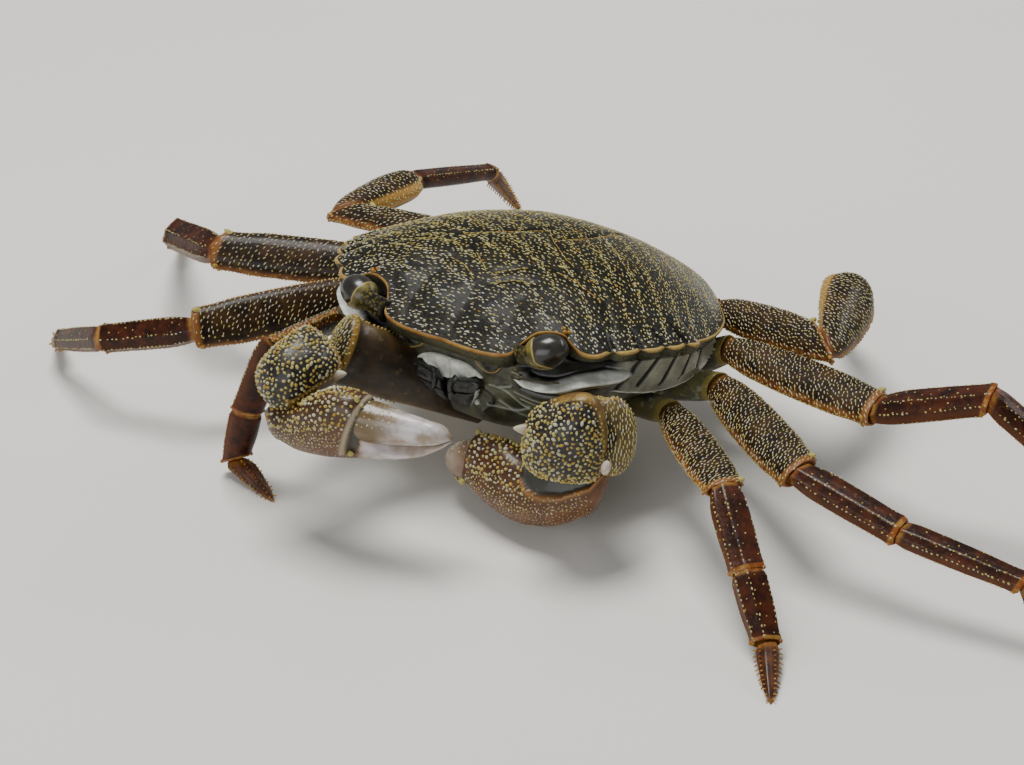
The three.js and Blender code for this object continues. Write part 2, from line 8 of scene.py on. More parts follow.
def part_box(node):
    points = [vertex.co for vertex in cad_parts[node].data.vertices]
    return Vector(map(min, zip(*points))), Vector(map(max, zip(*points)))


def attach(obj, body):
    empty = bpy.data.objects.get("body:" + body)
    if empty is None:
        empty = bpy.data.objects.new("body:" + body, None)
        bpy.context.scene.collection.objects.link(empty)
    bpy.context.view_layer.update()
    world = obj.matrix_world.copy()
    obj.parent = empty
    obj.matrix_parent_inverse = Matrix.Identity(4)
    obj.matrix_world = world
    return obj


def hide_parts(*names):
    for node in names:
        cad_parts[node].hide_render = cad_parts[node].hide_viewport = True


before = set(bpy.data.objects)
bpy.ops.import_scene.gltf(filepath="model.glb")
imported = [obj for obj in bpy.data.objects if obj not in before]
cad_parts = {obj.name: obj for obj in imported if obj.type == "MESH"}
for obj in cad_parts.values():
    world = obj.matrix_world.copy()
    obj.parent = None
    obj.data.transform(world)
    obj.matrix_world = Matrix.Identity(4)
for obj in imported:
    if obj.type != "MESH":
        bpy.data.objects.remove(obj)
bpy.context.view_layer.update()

# Lengths below are in millimetres, and they turn to metres as each mesh is made. The crab faces -Y.
# The shell and face are shaped in shell widths about the middle of the shell's margin, level and facing -Y,
# and bodyPlace() carries them to where the pitched and rolled body stands.
body = {
    "width": 52.0,  # of the shell, between its last side lobes
    "height": 22.2,  # of the margin's middle over the floor
    "pitch": 8.2,  # degrees, front up
    "roll": 3.8,  # degrees, left side down
    "marginFromBox": (0.053, 0.648, 0.2285),  # from the middle of the shell's box to the margin's middle
}
shellLow, shellHigh = (np.array(corner) * 1000 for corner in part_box("carapace"))
shellMiddle = (shellLow + shellHigh) / 2
bodyOrigin = shellMiddle + body["marginFromBox"]
floorShift = bodyOrigin - [0, 0, body["height"]]
pitched = Matrix.Rotation(math.radians(-body["pitch"]), 3, "X")
bodyTurn = np.array(pitched @ Matrix.Rotation(math.radians(body["roll"]), 3, "Y"))
sides = {"left": 1, "right": -1}  # the sign of x
alongLimb = math.pi / 2  # turns a grain along its limb, where 0 leaves it lying round the limb


def bodyPlace(points):
    return np.asarray(points, float) * body["width"] @ bodyTurn.T + bodyOrigin


def smoothstep(x, low, high):
    t = np.clip((np.asarray(x, float) - low) / (high - low), 0, 1)
    return t * t * (3 - 2 * t)


# 1 between two values and 0 beyond them, with a soft start and a soft end.
def between(x, start, full, fade, end):
    return smoothstep(x, start, full) * (1 - smoothstep(x, fade, end))


def mix(a, b, t):
    return a + (b - a) * t


def unit(v):
    v = np.asarray(v, float)
    return v / np.maximum(np.linalg.norm(v, axis=-1, keepdims=True), 1e-12)


# A vector made square to another one.
def squareTo(v, axis):
    return unit(v - axis * np.sum(np.asarray(v) * axis, -1, keepdims=True))


def pulse(x, middle, width):
    return np.exp(-(((np.asarray(x, float) - middle) / width) ** 2))


def fullTurn(count):
    return np.arange(count) * 2 * math.pi / count


# A sine or cosine with its peaks broadened, for outlines between round and square.
def broad(wave, power):
    return np.sign(wave) * np.abs(wave) ** power


# A smooth curve through a table of stations: the first column is where, the others are read off at t.
def readOff(table, t):
    table = np.asarray(table, float)
    t = np.atleast_1d(np.asarray(t, float))
    where, values = table[:, 0], table[:, 1:]
    slopes = np.gradient(values, where, axis=0)
    steps = np.diff(values, axis=0)
    flat = np.zeros_like(values, bool)  # no overshoot at the peaks
    flat[1:-1] = steps[1:] * steps[:-1] <= 0
    slopes[flat] = 0
    i = np.clip(np.searchsorted(where, t, side="right") - 1, 0, len(where) - 2)
    span = (where[i + 1] - where[i])[:, None]
    u = np.clip((t - where[i])[:, None] / span, 0, 1)
    turns = slopes[i] * (1 - u) - slopes[i + 1] * u
    return mix(values[i], values[i + 1], u * u * (3 - 2 * u)) + turns * span * u * (1 - u)


# A curve through points, with the given number of steps between each two.
def throughPoints(points, steps):
    p = np.asarray(points, float)
    p = np.vstack([2 * p[0] - p[1], p, 2 * p[-1] - p[-2]])
    out = []
    for a, b, c, d in zip(p[:-3], p[1:-2], p[2:-1], p[3:]):
        for u in np.arange(steps) / steps:
            bend = (2 * a - 5 * b + 4 * c - d) * u * u + (3 * b - a - 3 * c + d) * u**3
            out.append(0.5 * (2 * b + (c - a) * u + bend))
    return np.array(out + [p[-2]])


# The same for points in a plane.
def throughFlat(points, steps):
    return throughPoints([(*p, 0) for p in points], steps)[:, :2]


# The length run along a line at each of its points.
def lengthAlong(line):
    return np.concatenate([[0], np.cumsum(np.linalg.norm(np.diff(line, axis=0), axis=1))])


# One mesh object: parts are added to it and make() builds it.
class Piece:
    def __init__(self, name):
        self.name = name
        self.points, self.tags, self.count = [], {}, 0
        self.faces = {4: [], 3: []}  # corners and finish of each batch, by the number of corners

    def add(self, points, batches, finish, **tags):
        for name in set(self.tags) | set(tags):
            values = np.broadcast_to(np.asarray(tags.get(name, 0.0), float), (len(points),))
            self.tags.setdefault(name, [np.zeros(self.count)]).append(values)
        for faces in batches:
            self.faces[faces.shape[1]].append((faces + self.count, finish))
        self.points.append(points)
        self.count += len(points)

    # A grid of points that closes round its columns, with its two ends closed by fans.
    def tube(self, grid, **tags):
        rows, columns = grid.shape[:2]
        index = np.arange(rows * columns).reshape(rows, columns)
        after = np.roll(index, -1, axis=1)
        quads = np.stack([index[:-1], after[:-1], after[1:], index[1:]], -1).reshape(-1, 4)
        poles = np.full((2, columns), rows * columns) + [[0], [1]]
        firstFan = np.column_stack([after[0], index[0], poles[0]])
        lastFan = np.column_stack([index[-1], after[-1], poles[1]])
        for name, value in tags.items():
            value = np.broadcast_to(value, (rows, columns))
            tags[name] = np.concatenate([value.reshape(-1), [value[0].mean(), value[-1].mean()]])
        points = np.vstack([grid.reshape(-1, 3), grid[0].mean(0), grid[-1].mean(0)])
        self.add(points, [quads, firstFan, lastFan], 0, **tags)

    def make(self, finishes, slot, node):
        points = np.vstack(self.points) / 1000
        batches = [(size, faces, finish) for size in self.faces for faces, finish in self.faces[size]]
        corners = np.concatenate([faces.reshape(-1) for size, faces, finish in batches])
        sizes = np.concatenate([np.full(len(faces), size) for size, faces, finish in batches])
        slots = np.concatenate([np.full(len(faces), finish) for size, faces, finish in batches])
        mesh = bpy.data.meshes.new(self.name)
        mesh.vertices.add(len(points))
        mesh.vertices.foreach_set("co", points.astype(np.float32).reshape(-1))
        mesh.loops.add(len(corners))
        mesh.loops.foreach_set("vertex_index", corners.astype(np.int32))
        mesh.polygons.add(len(sizes))
        mesh.polygons.foreach_set("loop_start", (np.cumsum(sizes) - sizes).astype(np.int32))
        mesh.polygons.foreach_set("material_index", slots.astype(np.int32))
        mesh.polygons.foreach_set("use_smooth", np.ones(len(sizes), bool))
        for name, values in self.tags.items():
            layer = mesh.attributes.new(name, "FLOAT", "POINT")
            layer.data.foreach_set("value", np.concatenate(values).astype(np.float32))
        for finish in finishes:
            mesh.materials.append(finish)
        mesh.update(calc_edges=True)
        mesh.validate()
        shown = bpy.data.objects.new(self.name, mesh)
        bpy.context.scene.collection.objects.link(shown)
        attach(shown, "root")
        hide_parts(node)


# A turn round a limb, as a share of the way round, kept on the left and mirrored on the right.
def mirrored(turn, side):
    return turn if side > 0 else 1 - turn


# A grid of points, read at any place between its rows and columns.
class Skin:
    def __init__(self, grid):
        self.grid = grid
        rowStep = np.gradient(grid, axis=0)
        columnStep = (np.roll(grid, -1, axis=1) - np.roll(grid, 1, axis=1)) / 2
        self.around = unit(columnStep)
        normal = unit(np.cross(rowStep, columnStep))
        outward = np.sum(normal * (grid - grid.mean(axis=1, keepdims=True)), axis=-1)
        self.normal = normal * (1 if np.mean(outward[1:-1]) > 0 else -1)
        self.area = np.linalg.norm(rowStep, axis=-1) * np.linalg.norm(columnStep, axis=-1)

    def read(self, values, row, column):
        rows, columns = self.area.shape
        row = np.clip(row, 0, rows - 1.001)
        i = row.astype(int)
        j = np.floor(column).astype(int)
        u, v = (row - i)[:, None], (column - j)[:, None]
        j, k = j % columns, (j + 1) % columns
        return mix(mix(values[i, j], values[i, k], v), mix(values[i + 1, j], values[i + 1, k], v), u)

    # Places, outward directions and round-the-skin directions, the last turned by an angle.
    def frames(self, row, column, turn=0.0):
        at = self.read(self.grid, row, column)
        up = unit(self.read(self.normal, row, column))
        around = squareTo(self.read(self.around, row, column), up)
        turn = np.broadcast_to(turn, (len(row),))[:, None]
        return at, up, around * np.cos(turn) + np.cross(up, around) * np.sin(turn)

    # The same for one place, at so many rows before the end.
    def spot(self, rowsLeft, turn):
        rows, columns = self.area.shape
        return self.frames(np.array([rows - rowsLeft]), np.array([turn * columns]))

    # The same for places in a row along the skin at one turn of it, so far apart in mm.
    def rowFrames(self, side, turn, rng, spacing, low, high, jitter):
        rows, columns = self.area.shape
        column = mirrored(turn, side) % 1 * columns
        run = lengthAlong(self.grid[:, int(column)])
        stops = np.arange(run[-1] * low, run[-1] * high, spacing)
        stops = stops + rng.normal(0, spacing * 0.1, len(stops))
        row = np.interp(stops, run, np.arange(rows))
        return self.frames(row, np.full(len(row), column) + rng.normal(0, jitter, len(row)), alongLimb)

    # Places spread over the skin, no two nearer than the spacing. keep() thins them by their share of the
    # rows and of the columns, and by how far the skin faces up there.
    def scatter(self, spacing, rng, keep):
        total = self.area.sum()
        rows, columns = self.area.shape
        triesPerPlace = 5
        tries = int(total / spacing**2 * triesPerPlace)
        pick = rng.choice(self.area.size, tries, p=(self.area / total).reshape(-1))
        row = pick // columns + rng.random(tries) - 0.5
        column = pick % columns + rng.random(tries) - 0.5
        row = np.clip(row, 0, rows - 1.01)
        facing = self.read(self.normal, row, column)[:, 2]
        kept = keep(row / (rows - 1), (column % columns) / columns, facing) > rng.random(tries)
        row, column = row[kept], column[kept]
        places = self.read(self.grid, row, column)
        cells, chosen = {}, []
        steps = (-1, 0, 1)
        near = [(a, b, c) for a in steps for b in steps for c in steps]
        for i, (x, y, z) in enumerate(np.floor(places / spacing).astype(int).tolist()):
            p = places[i]
            crowded = any(
                (p[0] - q[0]) ** 2 + (p[1] - q[1]) ** 2 + (p[2] - q[2]) ** 2 < spacing**2
                for a, b, c in near
                for q in cells.get((x + a, y + b, z + c), ())
            )
            if not crowded:
                cells.setdefault((x, y, z), []).append(p)
                chosen.append(i)
        return row[chosen], column[chosen]


grainRings = ((1.0, -0.35), (0.72, 0.62))  # reach and rise of a grain's rim and of its shoulder


# Low rounded grains: each is a dome with its rim sunk in the surface, long one way and narrow the other.
def grains(piece, at, up, first, length, width, height, tint, rim=6, lean=0.0, finish=1):
    count = len(at)
    if not count:
        return
    first = squareTo(first, up)
    second = np.cross(up, first)
    sizes = (length, width, height, lean)
    length, width, height, lean = (np.broadcast_to(size, (count,))[:, None] for size in sizes)
    points = []
    for reach, rise in grainRings:
        for angle in fullTurn(rim):
            long = first * (length / 2 * reach * math.cos(angle) + lean * max(rise, 0))
            points.append(at + long + second * (width / 2 * reach * math.sin(angle)) + up * (height * rise))
    points.append(at + up * height + first * lean)
    size = 2 * rim + 1
    index = np.arange(rim)
    after = np.roll(index, -1)
    lower = np.stack([index, after, after + rim], -1)
    upper = np.stack([index, after + rim, index + rim], -1)
    cap = np.stack([index + rim, after + rim, np.full(rim, 2 * rim)], -1)
    faces = (np.vstack([lower, upper, cap])[None] + np.arange(count)[:, None, None] * size).reshape(-1, 3)
    tint = np.repeat(np.broadcast_to(tint, (count,)), size)
    piece.add(np.stack(points, 1).reshape(-1, 3), [faces], finish, tint=tint)


def scatterFrames(skin, rng, spacing, keep):
    row, column = skin.scatter(spacing, rng, keep)
    return skin.frames(row, column, rng.random(len(row)) * 6)


# Grains scattered over a skin, turned at random. The shape is their length and width as shares of a random
# size, then their height as so many mm plus a share of it.
def sow(piece, skin, rng, keep, spacing, sizes, shape, tints, rim=6):
    at, up, around = scatterFrames(skin, rng, spacing, keep)
    size = rng.uniform(*sizes, len(at))
    long, wide, high, higher = shape
    tint = rng.uniform(*tints, len(at))
    grains(piece, at, up, around, size * long, size * wide, high + size * higher, tint, rim)


# A socket that can be used in a sum, so that finishes are written as plain expressions.
class Wire:
    def __init__(self, finish, socket):
        self.finish = finish
        self.socket = socket

    def _math(self, operation, first, second):
        return self.finish.node("ShaderNodeMath", {"operation": operation}, {0: first, 1: second})

    def __add__(self, other):
        return self._math("ADD", self, other)

    def __radd__(self, other):
        return self._math("ADD", other, self)

    def __sub__(self, other):
        return self._math("SUBTRACT", self, other)

    def __rsub__(self, other):
        return self._math("SUBTRACT", other, self)

    def __mul__(self, other):
        return self._math("MULTIPLY", self, other)

    def __rmul__(self, other):
        return self._math("MULTIPLY", other, self)

    def __or__(self, other):
        return self._math("MAXIMUM", self, other)

    def step(self, low, high):
        settings = {"interpolation_type": "SMOOTHSTEP"}
        return self.finish.node("ShaderNodeMapRange", settings, {0: self, 1: low, 2: high})


def rgb(hexColour):
    channels = [int(hexColour[i : i + 2], 16) / 255 for i in (0, 2, 4)]
    return (*[c / 12.92 if c <= 0.04045 else ((c + 0.055) / 1.055) ** 2.4 for c in channels], 1.0)


# A material. Its colour starts as one wire, and layer() lays others over it. Noise is measured in mm.
class Finish:
    def __init__(self, name):
        self.material = bpy.data.materials.new(name)
        self.material.use_nodes = True
        self.tree = self.material.node_tree
        self.tree.nodes.clear()
        place = self.node("ShaderNodeTexCoord", {}, {}, "Object")
        self.place = self.node("ShaderNodeVectorMath", {"operation": "SCALE"}, {0: place, "Scale": 1000.0})
        self.colour = None

    def node(self, kind, settings, sockets, output=0):
        made = self.tree.nodes.new(kind)
        for name, value in settings.items():
            if name == "stops":
                stops = made.color_ramp.elements
                while len(stops) < len(value):
                    stops.new(0.5)
                for stop, (position, colour) in zip(stops, value):
                    stop.position = position
                    stop.color = colour
            else:
                setattr(made, name, value)
        for name, value in sockets.items():
            if isinstance(value, Wire):
                self.tree.links.new(value.socket, made.inputs[name])
            else:
                made.inputs[name].default_value = value
        return Wire(self, made.outputs[output]) if output is not None else None

    def tag(self, name):
        return self.node("ShaderNodeAttribute", {"attribute_name": name}, {}, "Fac")

    def noise(self, scale, detail=3.0, roughness=0.55, vector=None):
        sockets = {"Vector": vector or self.place, "Scale": scale, "Detail": detail, "Roughness": roughness}
        return self.node("ShaderNodeTexNoise", {}, sockets, "Fac")

    def spots(self, scale):
        return self.node("ShaderNodeTexVoronoi", {}, {"Vector": self.place, "Scale": scale})

    def blend(self, mask, first, second):
        first, second = (rgb(colour) if isinstance(colour, str) else colour for colour in (first, second))
        return self.node("ShaderNodeMix", {"data_type": "RGBA"}, {0: mask, 6: first, 7: second}, 2)

    # Two colours in soft patches: scale and detail of the noise, and the values it changes over between.
    def patches(self, scale, detail, low, high, first, second):
        return self.blend(self.noise(scale, detail).step(low, high), first, second)

    def layer(self, mask, colour):
        self.colour = self.blend(mask, self.colour, colour)

    # Roughness, then a bump and its depth in mm, how strongly it reflects, and its wet coat's weight and
    # roughness
    def surface(self, roughness, bump=None, depth=0.0, shine=None, coat=()):
        sockets = {"Base Color": self.colour, "Roughness": roughness}
        if shine is not None:
            sockets["Specular IOR Level"] = shine
        sockets.update(zip(("Coat Weight", "Coat Roughness"), coat))
        if bump is not None:
            sockets["Normal"] = self.node("ShaderNodeBump", {}, {"Distance": depth / 1000, "Height": bump})
        shader = self.node("ShaderNodeBsdfPrincipled", {}, sockets)
        self.node("ShaderNodeOutputMaterial", {}, {"Surface": shader}, None)


studio = {
    "azimuth": 33.3087,  # degrees, the way the camera stands from straight ahead of the crab
    "elevation": 28.623,
    "roll": -2.8796,
    "lens": 100.0,
    "cameraFromShell": (184.20, -287.35, 170.66),
    # place and size in metres, power in watts and colour of each light, which all point at the crab
    "lights": {
        "overheadSoftbox": ((-0.12, 0.05, 0.60), (0.30, 0.24), 4.3, (1, 0.99, 0.97)),
        "frontFill": ((0.0, -0.84, 0.32), (0.8, 0.5), 3.6, (0.97, 0.98, 1)),
        "backStrip": ((0.35, 0.55, 0.40), (0.5, 0.1), 1.0, (1, 1, 1)),
    },
    "skyColour": (0.86, 0.9, 0.95, 1),
    "skyStrength": 0.29,
    "floorColour": "e6e3dc",
    "floorHalf": 3.0,
    "floorDrop": 0.0001,  # keeps the floor just clear of the toes
}


def setCamera():
    a, e, r = (math.radians(studio[name]) for name in ("azimuth", "elevation", "roll"))
    back = Vector((math.sin(a) * math.cos(e), -math.cos(a) * math.cos(e), math.sin(e)))
    right = Vector((math.cos(a), math.sin(a), 0))
    up = back.cross(right)
    right, up = right * math.cos(r) + up * math.sin(r), up * math.cos(r) - right * math.sin(r)
    data = bpy.data.cameras.new("camera")
    data.lens = studio["lens"]
    data.sensor_width = 36.0
    data.clip_start = 0.01
    camera = bpy.data.objects.new("camera", data)
    bpy.context.scene.collection.objects.link(camera)
    place = Vector((shellMiddle + studio["cameraFromShell"]) / 1000)
    camera.matrix_world = Matrix.Translation(place) @ Matrix((right, up, back)).transposed().to_4x4()
    bpy.context.scene.camera = camera


def setLights():
    for name, (place, size, power, colour) in studio["lights"].items():
        data = bpy.data.lights.new(name, "AREA")
        data.shape = "RECTANGLE"
        data.size, data.size_y = size
        data.energy = power
        data.color = colour
        light = bpy.data.objects.new(name, data)
        light.location = place
        light.rotation_euler = (-Vector(place)).to_track_quat("-Z", "Y").to_euler()
        bpy.context.scene.collection.objects.link(light)
    world = bpy.data.worlds.new("studioSky")
    world.use_nodes = True
    background = world.node_tree.nodes["Background"]
    background.inputs["Color"].default_value = studio["skyColour"]
    background.inputs["Strength"].default_value = studio["skyStrength"]
    bpy.context.scene.world = world


def setFloor():
    finish = Finish("studioFloor")
    pale = rgb(studio["floorColour"])
    shaded = [c * 0.97 for c in pale[:3]] + [1]
    finish.colour = finish.patches(0.006, 3, 0.3, 0.7, pale, shaded)
    grain = finish.noise(2.0, 4)
    finish.surface(0.72 + grain * 0.1, grain, 0.02)
    mesh = bpy.data.meshes.new("studioFloor")
    half = studio["floorHalf"]
    corners = [(-half, -half, 0), (half, -half, 0), (half, half, 0), (-half, half, 0)]
    mesh.from_pydata(corners, [], [(0, 1, 2, 3)])
    mesh.materials.append(finish.material)
    floor = bpy.data.objects.new("studioFloor", mesh)
    floor.location.z = -studio["floorDrop"]
    bpy.context.scene.collection.objects.link(floor)


setCamera()
setLights()
setFloor()
print("camera, lights and floor are set")


# The left half of the margin in shell widths, from the middle of the brow round to that of the rear edge.
carapace = {
    "brow": [(0, -0.445, -0.043), (0.07, -0.448, -0.044), (0.14, -0.445, -0.04), (0.184, -0.43, -0.03)],
    "orbit": [
        (0.2, -0.4, -0.006), (0.222, -0.374, 0.018), (0.258, -0.357, 0.027), (0.29, -0.352, 0.025),
        (0.308, -0.358, 0.015), (0.35, -0.369, 0.0), (0.384, -0.349, -0.004),
    ],
    "lobeEnds": [
        (0.403, -0.307, 0.005), (0.443, -0.243, 0.004), (0.473, -0.174, -0.002), (0.495, -0.107, -0.009),
        (0.503, -0.049, -0.02),
    ],
    "flank": [
        (0.501, 0.01, -0.032), (0.489, 0.085, -0.044), (0.46, 0.177, -0.051), (0.408, 0.262, -0.057),
        (0.336, 0.351, -0.056), (0.262, 0.412, -0.048), (0.2, 0.43, -0.044), (0.1, 0.434, -0.038),
        (0, 0.435, -0.036),
    ],
    "lobeBulge": 0.021,
    "dome": 0.118,  # height of the shell's middle
    "domePower": 2.5,  # how late its slope steepens
    "rim": 0.013,  # thickness of the edge
    "ironing": 160,  # passes that smooth the margin's outline away inside the shell
    # x, y, half width, half length and height of each rounded swelling, in shell widths
    "swellings": [
        (0.075, -0.36, 0.055, 0.045, 0.011), (0.19, -0.335, 0.048, 0.042, 0.009),
        (0.0, -0.14, 0.1, 0.12, 0.007), (0.28, 0.03, 0.13, 0.16, 0.009), (0.22, -0.2, 0.06, 0.05, 0.005),
        (0.0, 0.16, 0.07, 0.09, 0.004),
    ],
    # Furrows of the left half: points, then half width and depth in shell widths
    "furrows": [
        ([(0, -0.43), (0.004, -0.345), (0.004, -0.29)], 0.022, 0.003),
        ([(0.024, -0.281), (0.075, -0.248), (0.13, -0.235)], 0.012, 0.003),
        ([(0.015, -0.243), (0.071, -0.197), (0.11, -0.15)], 0.012, 0.003),
        (

            [(0.37, -0.262), (0.298, -0.186), (0.251, -0.141), (0.165, -0.121), (0.05, -0.03), (0, 0.033)],
            0.013, 0.005,
        ),
        ([(0.302, -0.201), (0.155, -0.172), (0.069, -0.151)], 0.012, 0.0022),
        ([(0.05, -0.03), (0.10, 0.08), (0.115, 0.2)], 0.014, 0.003),
        ([(0.13, -0.41), (0.135, -0.35), (0.13, -0.3)], 0.018, 0.003),
    ],
    # Golden seams, each a chain of long thin dashes
    "seams": [
        [(0.024, -0.281), (0.075, -0.248), (0.125, -0.236)], [(0.015, -0.243), (0.071, -0.197)],
        [(0.0, 0.036), (0.05, -0.026), (0.12, -0.088), (0.165, -0.117)],
        [(0.155, -0.172), (0.302, -0.201)], [(0.055, -0.02), (0.103, 0.08), (0.118, 0.19)],
        [(0.069, -0.15), (0.085, -0.165)],
    ],
    # The four bare front swellings, blue-grey with a painted sky sheen: x, y, half width and half length of
    # the left two
    "bare": [(0.075, -0.345, 0.055, 0.038), (0.2, -0.3, 0.05, 0.04)],
    "scars": [(0.147, -0.144), (0.262, -0.115), (0.069, -0.151)],  # bare oval marks where muscles hold
    "knobs": [(0.284, -0.343), (0.276, -0.335), (0.291, -0.336)],  # together, at the orbit's outer corner
    # along the brow, the lobes and the rear: width of the gold edge in mm and its rise in shell widths
    "rimWidths": (0.2, 0.38, 0.22),
    "rimRises": (0.002, 0.0028, 0.0012),
    "dashField": (27, -26, 42),  # mm out to either side, forward and back that the rows cover
    "dashRows": 0.45,  # mm between rows of dashes
    "dashStep": 0.72,  # and from dash to dash
    "dashScatter": (0.15, 0.13),  # mm off their places, along and across the row
    "dashLengths": (0.34, 0.68),
    "dashWidths": (0.13, 0.225),
    "dashHeight": 0.065,
    "rowCurve": 0.75,  # how strongly the rows bend forward at the sides
    "rowWave": (0.35, 0.9, 1.7),  # mm that the rows waver, and how fast they do across and from row to row
    "seamStart": 0.006,
    "seamStep": 0.0165,
    # length, width, height and tint of the marks; the seams' tints are a range
    "seamMark": (0.95, 0.16, 0.08),
    "seamTints": (0.45, 0.8),
    "scarMark": (1.2, 0.42, 0.08, 0.35),
    "knobMark": (0.75, 0.6, 0.4, 0.8),
}


def lobeArcs(steps):
    points, notches = [], []
    ends = np.array(carapace["lobeEnds"])
    for a, b in zip(ends[:-1], ends[1:]):
        chord = np.linalg.norm((b - a)[:2])
        outward = np.array([b[1] - a[1], a[0] - b[0], 0]) / chord
        for u in np.arange(steps) / steps:
            bulge = carapace["lobeBulge"] * (4 * u * (1 - u)) ** 0.6 * mix(1.35, 0.65, u)
            points.append(mix(a, b, u) + outward * bulge)
            notches.append(abs(2 * u - 1) ** 6)
    return np.array(points + [ends[-1]]), np.array(notches + [1.0])


# The margin's points, then for each its zone, 0 over the brow and orbits, 1 along the lobes and 2 behind
# them, and how deep in a notch it is.
def shellMargin():
    front = throughPoints(carapace["brow"] + carapace["orbit"] + carapace["lobeEnds"][:1], 9)[:-1]
    lobes, notches = lobeArcs(20)
    rear = throughPoints(carapace["lobeEnds"][-1:] + carapace["flank"], 9)[1:]
    half = np.vstack([front, lobes, rear])
    step = np.arange(len(front))
    zone = np.concatenate([smoothstep(step, 66, 74), np.ones(len(lobes)), np.full(len(rear), 2.0)])
    notch = np.concatenate([smoothstep(step, 95, 99), notches, np.zeros(len(rear))])
    both = lambda values, flip=1: np.concatenate([values, values[1:-1][::-1] * flip])
    return both(half, [-1, 1, 1]), both(zone), both(notch)


def ironed(outline, passes):
    for _ in range(passes):
        outline = (outline + (np.roll(outline, 1, 0) + np.roll(outline, -1, 0)) / 2) / 2
    return outline


# Distance from places in a plane to a line through points.
def fromLine(x, y, line, steps=6):
    nearest = np.full(np.shape(x), 9.0)
    points = throughFlat(line, steps)
    for (ax, ay), (bx, by) in zip(points[:-1], points[1:]):
        dx, dy = bx - ax, by - ay
        u = np.clip(((x - ax) * dx + (y - ay) * dy) / (dx * dx + dy * dy), 0, 1)
        nearest = np.minimum(nearest, np.hypot(x - ax - u * dx, y - ay - u * dy))
    return nearest


def swell(x, y):
    return sum(
        high * np.exp(-(((np.abs(x) - cx) / wide) ** 2) - ((y - cy) / long) ** 2)
        for cx, cy, wide, long, high in carapace["swellings"]
    )


def furrow(x, y):
    cut = np.zeros(np.shape(x))
    for line, width, depth in carapace["furrows"]:
        cut = np.maximum(cut, depth * np.exp(-((fromLine(np.abs(x), y, line) / width) ** 2)))
    return cut


# The height at which the shell's lower edge meets the body, which dips at the brow and towards the rear.
def seam(y):
    return -0.024 - 0.052 * smoothstep(y, -0.3, 0.22) - 0.05 * (1 - smoothstep(y, -0.425, -0.37))


# An oval mark on either half of the shell, fading outward.
def oval(x, y, cx, cy, halfWidth, halfLength, fade):
    return pulse(np.hypot((np.abs(x) - cx) / halfWidth, (y - cy) / halfLength), 0, fade)


# Where the four bare front swellings lie: the dashes thin out there, and blue-grey with a painted sky sheen
# goes on them.
def slateAndSheen(x, y):
    return np.clip(sum(oval(x, y, *place, 0.9) for place in carapace["bare"]), 0, 1)


# The shell's top, where small marks are laid at points of its plane, with headings in radians.
class ShellTop:
    def __init__(self, grid):
        self.flat = grid[:, :, :2].reshape(-1, 2)
        self.top = bodyPlace(grid).reshape(-1, 3)
        normal = Skin(bodyPlace(grid)).normal.reshape(-1, 3)
        self.normal = normal * np.sign(normal[:, 2:3])
        self.tree = kdtree.KDTree(len(self.flat))
        for i, (x, y) in enumerate(self.flat.tolist()):
            self.tree.insert((x, y, 0), i)
        self.tree.balance()

    def find(self, places):
        return np.array([self.tree.find((x, y, 0))[1] for x, y in places.tolist()])

    # Slides each mark along the surface from the nearest grid point to its own place
    def lay(self, piece, places, heading, length, width, height, tint, nearest=None):
        nearest = self.find(places) if nearest is None else nearest
        flat = np.zeros(len(places))
        away = np.column_stack([places - self.flat[nearest], flat]) @ bodyTurn.T * body["width"]
        up = self.normal[nearest]
        plumb = bodyTurn @ np.array([0, 0, 1.0])
        slide = away - plumb * (np.sum(away * up, -1) / np.sum(up * plumb, -1))[:, None]
        first = np.column_stack([np.cos(heading), np.sin(heading), flat]) @ bodyTurn.T
        grains(piece, self.top[nearest] + slide, up, first, length, width, height, tint)


